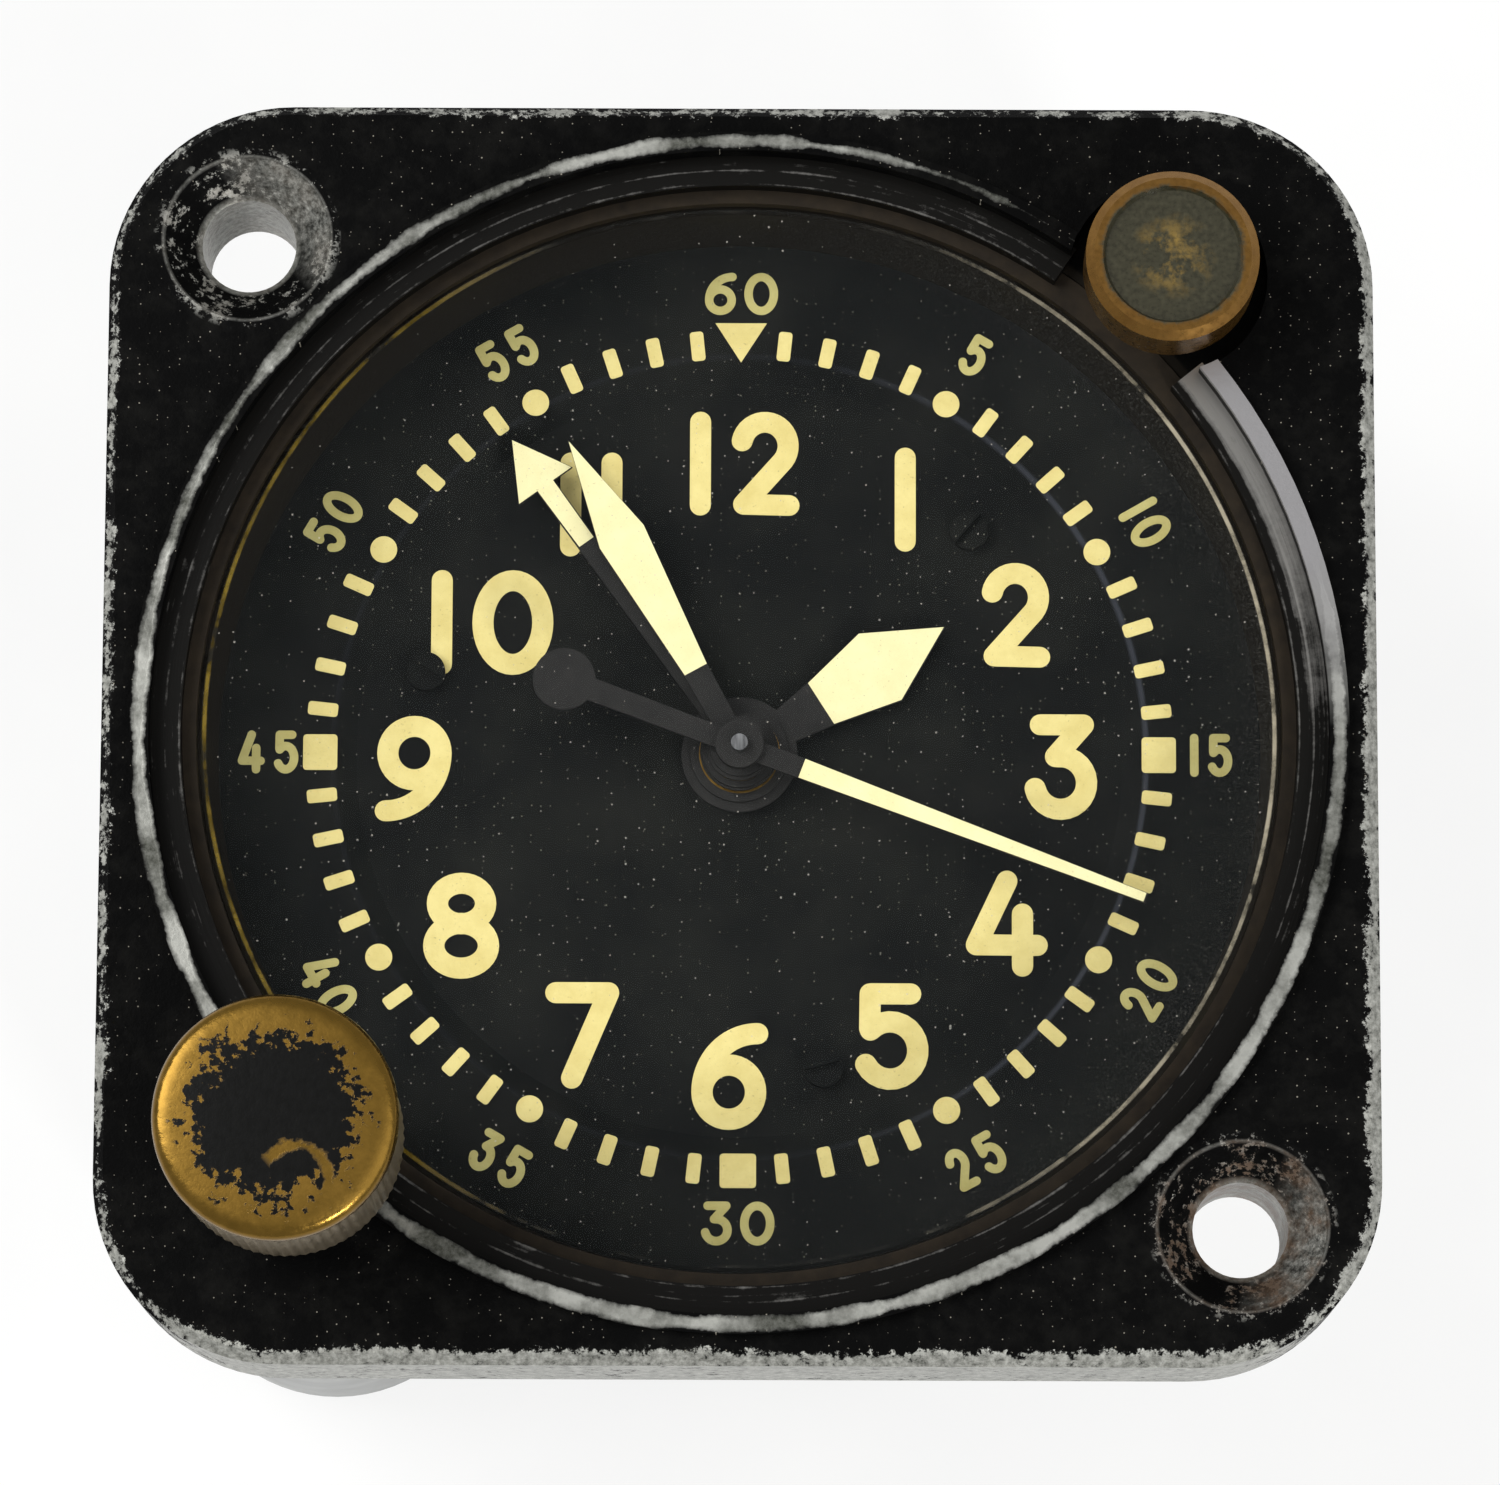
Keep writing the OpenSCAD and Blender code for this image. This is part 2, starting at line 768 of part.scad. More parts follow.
module setting_yoke() {
  color("#9a9c9e") difference() {
    translate([0, 0, 24.95]) linear_extrude(1.1) {
      translate(knob_at) circle(1.8);
      translate(guide_at) circle(1.5);
      rotate(knob_dir) translate([22.6, -1.4]) square([knob_far - 22.6, 2.8]);
    }
    at(knob_at) rod(1.15, 20, 30);
    at(guide_at) rod(0.65, 20, 30);
  }
}

// button and reset work

module button() {
  color("#8a6a45") at(button_at) {
    rotate_extrude() polygon([[0, 12.4], [0.3, 12.4], [1, 13], [1, 29.5], [2.4, 29.5], [2.4, 30.3], [1, 30.3],
      [1, z_face + 0.55], [button_r - 0.3, z_face + 0.55], [button_r, z_face + 1.2],
      [button_r, z_face + button_up - 0.4], [button_r - 0.4, z_face + button_up],
      [button_r - 0.8, z_face + button_up], [button_r - 0.95, z_face + button_up - 0.3],
      [0, z_face + button_up - 0.3]]);
  }
}

// wire coil under the plunger's collar
module button_spring() {
  n = 112;
  wire = 0.25;
  pts = [for (i = [0 : n]) for (j = [0 : 7])
    [(1.75 + wire * cos(j * 45)) * cos(i * 22.5), (1.75 + wire * cos(j * 45)) * sin(i * 22.5),
      19.76 + i * (9.48 / n) + wire * sin(j * 45)]];
  sides = [for (i = [0 : n - 1]) for (j = [0 : 7]) for (k = [0, 1]) let(a = i * 8 + j, b = i * 8 + (j + 1) % 8)
    k == 0 ? [a, a + 8, b + 8] : [a, b + 8, b]];
  ends = [[for (j = [0 : 7]) j], [for (j = [7 : -1 : 0]) n * 8 + j]];
  color("#7d7f82") at(button_at) polyhedron(pts, concat(sides, ends));
}

// bell crank between plunger and hammer
module reset_lever() {
  color("#9a9c9e") rotate(button_dir) difference() {
    union() {
      translate([21.6, 1.4, 12.2]) rotate([90, 0, 0]) cylinder(r = 1, h = 2.8);
      translate([21.6, -1.4, 11.3]) cube([button_far - 20.56, 2.8, 1]);
      translate([21.1, -1.4, 8.7]) cube([1, 2.8, 3]);
    }
    translate([21.6, -5, 12.2]) rotate([-90, 0, 0]) cylinder(r = 0.53, h = 10);
  }
}

module lever_pin() {
  color("#4a4a4a") rotate(button_dir) translate([21.6, -2.7, 12.2]) rotate([-90, 0, 0])
    cylinder(r = 0.5, h = 5.4);
}

// slotted slide that strikes the heart cam
module reset_hammer() {
  color("#9a9c9e") rotate(button_dir) translate([0, 0, 8.7]) linear_extrude(0.8) difference() {
    union() {
      translate([6, -1.5]) square([14.9, 3]);
      translate([4.2, -2.2]) square([2.2, 4.4]);
    }
    for (x = [11.5, 17.5]) {
      translate([x, 0]) circle(0.55);
      translate([x + 0.7, 0]) circle(0.55);
      translate([x, -0.55]) square([0.7, 1.1]);
    }
  }
}

module hammer_screws() {
  color("#4a5a8a") rotate(button_dir) for (x = [11.5, 17.5]) translate([x, 0, 0]) {
    screw_up(1.1, 7.8, 8.6, 0.5, 15.3);
    tube(1, 0.4, 9.6, 13.5);
  }
}

bezel_flange();
glass();
glass_gasket();
snap_ring();
case_can();
case_screws();
rear_gasket();
rear_cover();
rear_cover_screws();
knob_bushing();
button_bushing();
movement_ring();
dial();
dial_screws();
hour_hand();
minute_hand();
elapsed_hand();
sweep_hand();
hour_wheel();
minute_wheel();
setting_wheel();
cannon_pinion();
recorder_wheel();
recorder_idler();
sweep_arbor();
heart_cam();
sweep_wheel();
sweep_idler();
front_plate();
back_plate();
pillars();
plate_screws();
mainspring_barrel();
barrel_cover();
barrel_arbor();
mainspring();
ratchet_wheel();
click();
second_wheel();
centre_wheel();
third_wheel();
fourth_wheel();
escape_wheel();
pallet_fork();
balance_wheel();
balance_staff();
hairspring();
balance_cock();
bridge_screws();
knob();
knob_screw();
winding_stem();
setting_yoke();
button();
button_spring();
reset_lever();
lever_pin();
reset_hammer();
hammer_screws();
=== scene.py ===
"""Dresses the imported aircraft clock.

Adds the dial marks, numerals, hand paint, knurled knob and button spring, and sets the finishes,
the light and the camera.
"""
import math
from functools import partial

import bmesh
import bpy
from bpy.props import FloatProperty, FloatVectorProperty, PointerProperty
from mathutils import Matrix, Vector


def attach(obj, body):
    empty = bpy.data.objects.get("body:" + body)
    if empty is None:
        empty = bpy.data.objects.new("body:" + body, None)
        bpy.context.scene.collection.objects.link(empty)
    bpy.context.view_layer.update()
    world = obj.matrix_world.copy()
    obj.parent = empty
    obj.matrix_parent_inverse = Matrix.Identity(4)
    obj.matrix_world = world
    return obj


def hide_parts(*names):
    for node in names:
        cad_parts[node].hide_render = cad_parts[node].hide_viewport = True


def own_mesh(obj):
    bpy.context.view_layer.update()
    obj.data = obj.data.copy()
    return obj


bl_info = {
    "name": "Aircraft Clock",
    "version": (1, 0, 0),
    "blender": (4, 5, 0),
    "location": "View3D > Sidebar > Clock",
    "description": "Builds the marks, paint, knob and finishes of a panel clock around its solid model",
    "category": "Object",
}

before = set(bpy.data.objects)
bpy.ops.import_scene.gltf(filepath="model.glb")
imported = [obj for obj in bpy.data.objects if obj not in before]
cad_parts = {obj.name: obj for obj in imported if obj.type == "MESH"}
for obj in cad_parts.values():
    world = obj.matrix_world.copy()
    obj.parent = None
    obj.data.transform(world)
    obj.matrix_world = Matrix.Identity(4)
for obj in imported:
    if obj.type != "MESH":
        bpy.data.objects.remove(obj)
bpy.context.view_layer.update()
MM = 0.001

# planes and places of the solid model, in millimetres
FACE_Z = 44.45
DIAL_RING_Z = 36.85
DIAL_FLOOR_Z = 36.0
DIAL_STEP_R = 18.5
KNOB_AXIS = (-20.9, -20.0)
KNOB_TOP_Z = 56.45
KNOB_FOOT_Z = 46.95
BUTTON_AXIS = (20.35, 21.85)
SPRING_FOOT_Z = 19.5
SPRING_TOP_Z = 29.48
SPRING_WIRE_R = 0.25
SPRING_COIL_R = 1.75
SPRING_TURNS = 7.0
FLANGE_HALF = 30.15
FLANGE_CORNER = 8.75
MOUNT_HOLE = 23.58
RIM_R = 28.3
OPENING_WALL_R = (27.75, 27.6)
RING_LINES_R = (26.48, 27.15)
EDGE_LINE_R = 25.37
# the glass rises to its clear middle between these heights
GLASS_STEP_Z = (42.6, 42.7)

# knurl of the knob: number of ribs and depth of the grooves in millimetres
KNURL_RIBS = 72
KNURL_DEPTH = 0.13

# hands at rest: height of the top face in millimetres and clockwise turn in degrees
HANDS = {"hour": (36.65, 57.5), "minute": (38.5, 331.0), "elapsed": (37.55, 324.0), "sweep": (39.4, 110.7)}
# luminous paint on each hand: its outline along 12 o'clock, and how far it sinks into the hand
HAND_PAINT = {
    "hour": [(0, 11.68), (1.92, 8.04), (1.18, 4.66), (-1.18, 4.66), (-1.92, 8.04)],
    "minute": [(0, 17.14), (1.2, 11.79), (0.6, 4.36), (-0.6, 4.36), (-1.2, 11.79)],
    "elapsed": [(0, 18.84), (1.55, 16.08), (0.46, 16.08), (0.42, 12.65),
                (-0.42, 12.65), (-0.46, 16.08), (-1.55, 16.08)],
    "sweep": [(0.22, 20.7), (0.48, 3.2), (-0.48, 3.2), (-0.22, 20.7)],
}
PAINT_SINK = 0.02

# rings of marks on the dial: how far inside the ticks, length, width and rounding of the corners
MARKS = {"ticks": (0.0, 1.45, 0.66, 0.16), "dots": (0.27, 1.3, 1.3, 0.0), "squares": (0.0, 1.65, 1.74, 0.18)}
MARK_COUNT = 60
DOT_SIDES = 28
TRIANGLE = [(-1.25, 21.25), (0, 19.3), (1.25, 21.25)]

# middle of each hour numeral from the axis; they are printed a little low on the dial
HOUR_PLACES = {
    12: (0.2, 14.45), 1: (8.0, 12.7), 2: (13.35, 7.0), 3: (15.5, -0.45),
    4: (12.85, -8.1), 5: (7.25, -13.6), 6: (-0.45, -15.55), 7: (-7.5, -13.6),
    8: (-13.35, -8.3), 9: (-15.7, -0.65), 10: (-12.0, 6.55), 11: (-7.25, 12.4),
}
HOUR_SQUEEZE = 0.96
# minute numerals turned to be read from below, those of full width, and how narrow the others are
FLIPPED_MINUTES = (20, 25, 35, 40)
WIDE_MINUTES = (30, 60)
MINUTE_SQUEEZE = 0.72

# camera fitted to the flange's corners and holes in the photograph: place in metres, right and up
CAMERA_PLACE = (0.000733, -0.060937, 0.391388)
CAMERA_RIGHT = (0.999993, 0.003721, 0.0)
CAMERA_UP = (-0.003666, 0.985284, 0.170884)
SENSOR_WIDTH = 36
FLOOR_HALF = 1.5
FLOOR_DROP = 0.0002

# short names of the nodes used most: Blender's type, its settings, the output used, the inputs in order;
# a remap gives 0 to 1 where a call says nothing else
KINDS = {
    "split": ("ShaderNodeSeparateXYZ", {}, 0, (0,)),
    "join": ("ShaderNodeCombineXYZ", {}, 0, (0, 1, 2)),
    "channels": ("ShaderNodeSeparateColor", {}, 0, (0,)),
    "length": ("ShaderNodeVectorMath", {"operation": "LENGTH"}, 1, (0,)),
    "dot": ("ShaderNodeVectorMath", {"operation": "DOT_PRODUCT"}, 1, (0, 1)),
    "stretch": ("ShaderNodeVectorMath", {"operation": "MULTIPLY"}, 0, (0, 1)),
    "shift": ("ShaderNodeVectorMath", {"operation": "SUBTRACT"}, 0, (0, 1)),
    "remap": ("ShaderNodeMapRange", {}, 0, (0, 1, 2, 3, 4)),
    "noise": ("ShaderNodeTexNoise", {}, 0, ("Vector", "Scale", "Detail", "Roughness")),
    "cells": ("ShaderNodeTexVoronoi", {"voronoi_dimensions": "2D"}, 0, ("Vector", "Scale")),
    "mix": ("ShaderNodeMix", {"data_type": "RGBA"}, 2, (0, 6, 7)),
    "bump": ("ShaderNodeBump", {}, 0, ("Strength", "Distance", "Height")),
}
for operation in ("ADD", "SUBTRACT", "MULTIPLY", "MAXIMUM", "MINIMUM", "ABSOLUTE", "ARCTAN2", "MODULO",
                  "LESS_THAN", "COMPARE"):
    KINDS[operation.lower()] = ("ShaderNodeMath", {"operation": operation}, 0, (0, 1, 2))

# settings that like properties share
LENGTH = {"unit": "LENGTH", "min": 0.0, "precision": 5}
COLOUR = {"subtype": "COLOR", "size": 4, "min": 0.0, "max": 1.0}
WATTS = {"unit": "POWER", "min": 0.0}


def linear(code):
    """sRGB hex to a linear colour with alpha."""
    parts = [int(code[i:i + 2], 16) / 255 for i in (1, 3, 5)]
    return (*[c / 12.92 if c <= 0.04045 else ((c + 0.055) / 1.055) ** 2.4 for c in parts], 1.0)


class ClockDialSettings(bpy.types.PropertyGroup):
    """Sizes of the printing on the dial and of the paint on the hands."""

    numeral_height: FloatProperty(
        name="Numeral Height", description="Height of the hour numerals", default=5.15 * MM, **LENGTH)
    numeral_stroke: FloatProperty(
        name="Numeral Stroke", description="Stroke width of the hour numerals", default=1.02 * MM, **LENGTH)
    small_height: FloatProperty(
        name="Minute Numeral Height", description="Height of the minute numerals",
        default=2.1 * MM, **LENGTH)
    small_stroke: FloatProperty(
        name="Minute Numeral Stroke", description="Stroke width of the minute numerals",
        default=0.41 * MM, **LENGTH)
    small_radius: FloatProperty(
        name="Minute Numeral Radius", description="Radius of the circle of minute numerals",
        default=22.72 * MM, **LENGTH)
    tick_radius: FloatProperty(
        name="Tick Radius", description="Middle radius of the minute ticks", default=20.2 * MM, **LENGTH)
    paint_height: FloatProperty(
        name="Paint Height", description="How far the luminous paint stands up",
        default=0.05 * MM, **LENGTH)


class ClockFinishSettings(bpy.types.PropertyGroup):
    """Colours of the finishes."""

    paint_black: FloatVectorProperty(
        name="Flange Paint", description="Black paint of flange and rear cover",
        default=linear("#060606"), **COLOUR)
    dial_black: FloatVectorProperty(
        name="Dial", description="Dial enamel", default=linear("#0f1010"), **COLOUR)
    cream: FloatVectorProperty(
        name="Numerals", description="Aged luminous paint", default=linear("#efdf93"), **COLOUR)
    pale_cream: FloatVectorProperty(
        name="Hands", description="Luminous paint on the hands", default=linear("#f6efb8"), **COLOUR)
    dim_cream: FloatVectorProperty(
        name="Minute Numerals", description="Thin faded print", default=linear("#cfc680"), **COLOUR)
    bare_metal: FloatVectorProperty(
        name="Bare Metal", description="Worn aluminium of the flange", default=linear("#b3b3ac"), **COLOUR)
    brass: FloatVectorProperty(
        name="Brass", description="Worn brass of the knob", default=linear("#8a6a2c"), **COLOUR)


class ClockStageSettings(bpy.types.PropertyGroup):
    """Light and camera."""

    key_watts: FloatProperty(name="Key Light", description="Power of the key light", default=3.2, **WATTS)
    fill_watts: FloatProperty(name="Fill Light", description="Power of the fill light", default=1.0, **WATTS)
    glint_watts: FloatProperty(
        name="Glint Light", description="Power of the small light for glints on edges", default=0.9, **WATTS)
    sky: FloatProperty(
        name="Sky", description="Strength of the even light from all round",
        default=0.55, min=0.0, soft_max=1.0, subtype="FACTOR")
    lens: FloatProperty(
        name="Lens", description="Focal length of the camera", default=179.18, min=1.0, unit="CAMERA")


def fill(tree, socket, value):
    """Links an output to an input socket, or sets the socket's own value; a hex string is a colour."""
    if isinstance(value, bpy.types.NodeSocket):
        tree.links.new(value, socket)
    else:
        socket.default_value = linear(value) if isinstance(value, str) else value


def node(tree, kind, *values, named=None, out=None, **settings):
    """Adds a node, sets it up, links or fills its inputs and gives back one of its outputs."""
    kind, usual, output, order = KINDS.get(kind, (kind, {}, 0, range(len(values))))
    made = tree.nodes.new(kind)
    for key, value in {**usual, **settings}.items():
        setattr(made, key, value)
    for key, value in [*zip(order, values), *(named or {}).items()]:
        fill(tree, made.inputs[key], value)
    return made.outputs[output if out is None else out] if made.outputs else made


def new_finish(name):
    """An empty material: itself, its node adder and its coordinates in millimetres."""
    material = bpy.data.materials.new(name)
    material.use_nodes = True
    add = partial(node, material.node_tree)
    place = add("ShaderNodeTexCoord", out="Object")
    place = add("stretch", place, (1 / MM, 1 / MM, 1 / MM))
    return material, add, place


def feed(material, **sockets):
    """Links or sets sockets of a material's shader, named with underscores for spaces."""
    tree = material.node_tree
    for key, value in sockets.items():
        fill(tree, tree.nodes["Principled BSDF"].inputs[key.replace("_", " ")], value)
    return material


def round_parts(add, place):
    """The x, y and z of a place, its flat place with no height, and its distance from the axis."""
    x = add("split", place)
    y = x.node.outputs[1]
    z = x.node.outputs[2]
    flat = add("join", x, y, 0.0)
    return x, y, z, flat, add("length", flat)


def apart(add, value, middle):
    """How far a value lies from a middle one, on either side."""
    difference = add("subtract", value, middle)
    return add("absolute", difference)


def row(add, kind, value, *others):
    """Puts values through a row of nodes of one kind, each with what the one before it gives."""
    for other in others:
        value = add(kind, value, other)
    return value


def dust(add, place, scale, least, widest, *shares):
    """Dust grains, above zero inside one. Cells drawn above least have a grain, and shares shrink it."""
    cell = add("cells", place, scale)
    pick = add("channels", cell.node.outputs["Color"])
    size = add("remap", pick, least, 1.0, 0.0, widest)
    size = row(add, "multiply", size, *shares)
    return add("subtract", size, cell)


def flange_finish(look):
    """Cast aluminium in satin black paint: bare edges and rim, chipped countersinks, dust on the face;
    painted sheen in the countersinks and on the rim.
    """
    material, add, place = new_finish("cast_aluminium_worn_black_paint")
    x, y, z, flat, radius = round_parts(add, place)
    # blotches about 2 mm across, and grit of about 0.4 mm
    blotch = add("noise", place, 0.55, 6, 0.7)
    grit = add("noise", place, 2.6, 5, 0.75)
    rough_line = add("add", blotch, grit)
    # distance in from the side wall, measured on the rounded square
    reach = FLANGE_HALF - FLANGE_CORNER
    sides = []
    for across in (x, y):
        side = add("absolute", across)
        side = add("subtract", side, reach)
        sides.append(add("maximum", side, 0.0))
    corner = add("join", *sides, 0.0)
    corner = add("length", corner)
    inset = add("subtract", FLANGE_CORNER, corner)
    drop = add("subtract", FACE_Z, z)
    edge = add("maximum", inset, drop)
    worn_to = add("remap", rough_line, 0.75, 1.4, -0.1, 1.0)
    right_side = add("remap", x, 27.0, 30.0, 0.0, 0.3)
    low_side = add("remap", y, -27.0, -30.0, 0.0, 0.35)
    worn_to = row(add, "add", worn_to, right_side, low_side)
    edge_wear = add("subtract", worn_to, edge)
    edge_wear = add("remap", edge_wear, -0.05, 0.1)
    # lower side wall, rubbed bare
    frayed = add("remap", rough_line, 0.7, 1.3, 2.5, -2.5)
    frayed = add("add", y, frayed)
    low_wall = add("remap", frayed, -28.3, -28.6)
    side_only = add("remap", edge, 0.3, 0.1)
    wall_depth = add("remap", inset, 0.1, 0.02)
    side_only = add("maximum", side_only, wall_depth)
    low_rub = add("remap", rough_line, 0.72, 0.86)
    low_wear = row(add, "multiply", low_wall, side_only, low_rub)
    # rim bead, rubbed wider and narrower every 3 mm or so
    rim_high = add("remap", z, FACE_Z + 0.15, FACE_Z + 0.35)
    crest = apart(add, radius, RIM_R)
    wave = add("noise", place, 0.35, 4, 0.6)
    rim_rub = add("remap", wave, 0.3, 0.7, 0.1, 0.4)
    nicks = add("remap", rough_line, 0.8, 1.2, -0.05, 0.05)
    rim_low = add("remap", y, -15.0, 25.0, 0.06, -0.06)
    rim_rub = row(add, "add", rim_rub, nicks, rim_low)
    angle = add("arctan2", y, x)
    # between 12 o'clock and the button the paint on the rim has held better
    held = add("remap", angle, 1.5, 1.2, 0.0, 0.16)
    beyond = add("remap", angle, 0.5, 0.8)
    held = add("multiply", held, beyond)
    rim_rub = row(add, "subtract", rim_rub, held, crest)
    rim_rub = add("remap", rim_rub, -0.1, 0.12)
    # painted highlight: the rim from 3 o'clock to the button is drawn as bright bare metal
    glint_band = add("remap", angle, 0.0, 0.3)
    past = add("remap", angle, 0.8, 0.84, 1.0, 0.0)
    glint_band = row(add, "multiply", glint_band, past, rim_high)
    rim_wear_and_glint = add("multiply", rim_high, rim_rub)
    rim_wear_and_glint = add("maximum", rim_wear_and_glint, glint_band)
    # countersinks, with a painted sheen on one side of each cone
    chip = add("remap", rough_line, 1.08, 1.14)
    chips_and_sheen = 0.0
    rust = 0.0
    for sign, stain, sheen_way in ((-1, 0.2, (0.8, 0.6, 0)), (1, 0.8, (0.95, -0.3, 0))):
        centre = (sign * MOUNT_HOLE, -sign * MOUNT_HOLE, 0)
        offset = add("shift", flat, centre)
        away = add("length", offset)
        near = add("remap", away, 4.5, 3.9)
        wall = add("remap", away, 2.55, 2.3)
        lip = apart(add, away, 4.0)
        lip = add("remap", lip, 0.12, 0.02, 0.0, 0.7)
        lip = add("multiply", lip, blotch)
        wall = add("maximum", wall, lip)
        # painted sheen: the side of each cone that the way in its row points to is drawn as bare grey metal
        toward = add("dot", offset, sheen_way)
        cone_sheen = add("remap", toward, 0.8, 3.4)
        cone = add("remap", away, 4.02, 3.9)
        patchy = add("remap", rough_line, 0.75, 1.15, 0.15, 1.0)
        cone_sheen = row(add, "multiply", cone_sheen, cone, patchy)
        wall = add("maximum", wall, cone_sheen)
        spot = add("multiply", near, chip)
        spot = add("maximum", spot, wall)
        chips_and_sheen = add("maximum", chips_and_sheen, spot)
        brown = add("multiply", near, stain)
        rust = add("maximum", rust, brown)
    # bare metal, with the painted sheen in the countersinks and the painted highlight on the rim
    bare_and_sheen = row(add, "maximum", edge_wear, low_wear, rim_wear_and_glint, chips_and_sheen)
    bare_and_sheen = add("minimum", bare_and_sheen, 1.0)
    # dust specks about 0.1 mm wide, scattered on the face
    drift = add("remap", blotch, 0.35, 0.65, 0.5, 1.2)
    upper = add("remap", drop, 0.25, 0.35, 1.0, 0.0)
    speck = dust(add, place, 2.1, 0.45, 0.1, drift, upper)
    speck = add("remap", speck, 0.0, 0.03, 0.0, 0.5)
    scuff = add("remap", blotch, 0.45, 0.75, 0.0, 0.12)
    black = add("mix", scuff, look.paint_black, "#3a3935")
    black = add("mix", speck, black, "#a8a294")
    calm = add("remap", rim_high, 0.0, 1.0, 1.0, 0.4)
    metal = add("remap", grit, 0.3, 0.68)
    metal = add("multiply", metal, calm)
    # grey tones about 4.5 mm long on the rim
    tone = add("noise", place, 0.22, 4, 0.6)
    tone = add("remap", tone, 0.4, 0.62, -0.1, 0.8)
    tone = add("multiply", tone, rim_high)
    metal = add("add", metal, tone)
    metal = add("mix", metal, "#45463f", look.bare_metal)
    # the painted highlight on the rim is drawn in a bright grey
    metal = add("mix", glint_band, metal, "#a3a1a2")
    stained = add("remap", blotch, 0.4, 0.6, 0.1, 1.0)
    stained = add("multiply", rust, stained)
    metal = add("mix", stained, metal, "#5a3d22")
    inside = add("remap", radius, *OPENING_WALL_R)
    colour = add("mix", bare_and_sheen, black, metal)
    colour = add("mix", inside, colour, "#1d1a16")
    shine = add("remap", bare_and_sheen, 0.0, 1.0, 0.45, 0.4)
    gloss = add("remap", bare_and_sheen, 0.0, 1.0, 0.03, 0.5)
    bump = add("subtract", grit, bare_and_sheen)
    bump = add("multiply", bump, calm)
    bump = add("bump", 0.35, 0.00012, bump)
    gleam = add("remap", rim_high, 0.0, 1.0, 0.6, 0.9)
    gleam = add("multiply", bare_and_sheen, gleam)
    return feed(material, Base_Color=colour, Roughness=shine, Metallic=gleam, Specular_IOR_Level=gloss,
                Normal=bump)


def plain_paint_finish(look):
    """Pressed rear cover in the same black paint, with light scuffs."""
    material, add, place = new_finish("pressed_cover_black_paint")
    # scuffs about 3 mm across, and paint grain of about 0.3 mm
    blotch = add("noise", place, 0.3, 7, 0.7)
    grit = add("noise", place, 3.0, 4)
    scuff = add("remap", blotch, 0.5, 0.75, 0.0, 0.5)
    colour = add("mix", scuff, look.paint_black, "#4a4a46")
    shine = add("remap", blotch, 0.3, 0.7, 0.36, 0.52)
    bump = add("bump", 0.25, 0.00008, grit)
    return feed(material, Base_Color=colour, Roughness=shine, Specular_IOR_Level=0.25, Normal=bump)


def ring_finish():
    """Blackened spring steel, rubbed grey on its high places, with a painted glint towards the button."""
    material, add, place = new_finish("blackened_spring_steel")
    x, y, *_, radius = round_parts(add, place)
    angle = add("arctan2", y, x)
    # streaks about 0.2 mm wide that run round the ring, and rubbed places about 1.4 mm across
    round_way = add("join", radius, angle, 0.0)
    round_way = add("stretch", round_way, (5.0, 3.0, 1.0))
    streak = add("noise", round_way, 1.0, 5, 0.7)
    rub = add("noise", place, 0.7, 7, 0.75)
    # painted glint: the outer part of the ring is drawn bright from 3 o'clock to the end beside the button
    end = add("remap", angle, -0.1, 0.62)
    past = add("remap", angle, 0.72, 0.8, 1.0, 0.0)
    outer = add("remap", radius, 26.7, 27.1)
    end = row(add, "multiply", end, past, outer)
    wear_and_glint = row(add, "add", rub, streak, end)
    for line_r in RING_LINES_R:
        line = apart(add, radius, line_r)
        line = add("remap", line, 0.02, 0.08, 0.4, 0.0)
        line = add("multiply", line, rub)
        wear_and_glint = add("add", wear_and_glint, line)
    wear_and_glint = add("remap", wear_and_glint, 1.16, 1.8)
    # wear and the painted glint turn the black to grey metal
    colour = add("mix", wear_and_glint, "#0b0a08", "#8f8d89")
    bump = add("bump", 0.2, 0.00006, streak)
    return feed(material, Base_Color=colour, Metallic=wear_and_glint, Roughness=0.42, Specular_IOR_Level=0.1,
                Normal=bump)


def seal_finish():
    """Hardened brown sealing compound: dull, with lumps of about 0.8 mm."""
    material, add, place = new_finish("hardened_sealing_compound")
    lump = add("noise", place, 1.2, 5)
    colour = add("mix", lump, "#0f0c09", "#2e261b")
    bump = add("bump", 0.4, 0.0001, lump)
    return feed(material, Base_Color=colour, Roughness=0.7, Specular_IOR_Level=0.15, Normal=bump)


def dial_finish(look):
    """Matt black dial enamel with pale dust and faint wipe marks."""
    material, add, place = new_finish("matt_black_dial_enamel")
    # wipe marks about 6 mm across, a tooth of about 0.1 mm, and dust grains up to about 0.1 mm wide
    haze = add("noise", place, 0.16, 5, 0.6)
    tooth = add("noise", place, 9.0, 2)
    speck = dust(add, place, 2.2, 0.45, 0.1)
    speck = add("remap", speck, 0.0, 0.03, 0.0, 0.5)
    film = add("remap", haze, 0.4, 0.75, 0.0, 0.1)
    colour = add("mix", film, look.dial_black, "#55554c")
    colour = add("mix", speck, colour, "#8f8c7e")
    # a faint line outside the dial's step catches the light on the right
    x, *_, radius = round_parts(add, place)
    step = apart(add, radius, DIAL_STEP_R + 1.1)
    step = add("remap", step, 0.05, 0.2, 0.5, 0.0)
    right = add("remap", x, 4.0, 16.0, 0.15, 1.0)
    step = add("multiply", step, right)
    colour = add("mix", step, colour, "#4a4d55")
    bump = add("bump", 0.08, 0.00002, tooth)
    return feed(material, Base_Color=colour, Roughness=0.62, Specular_IOR_Level=0.05, Normal=bump)


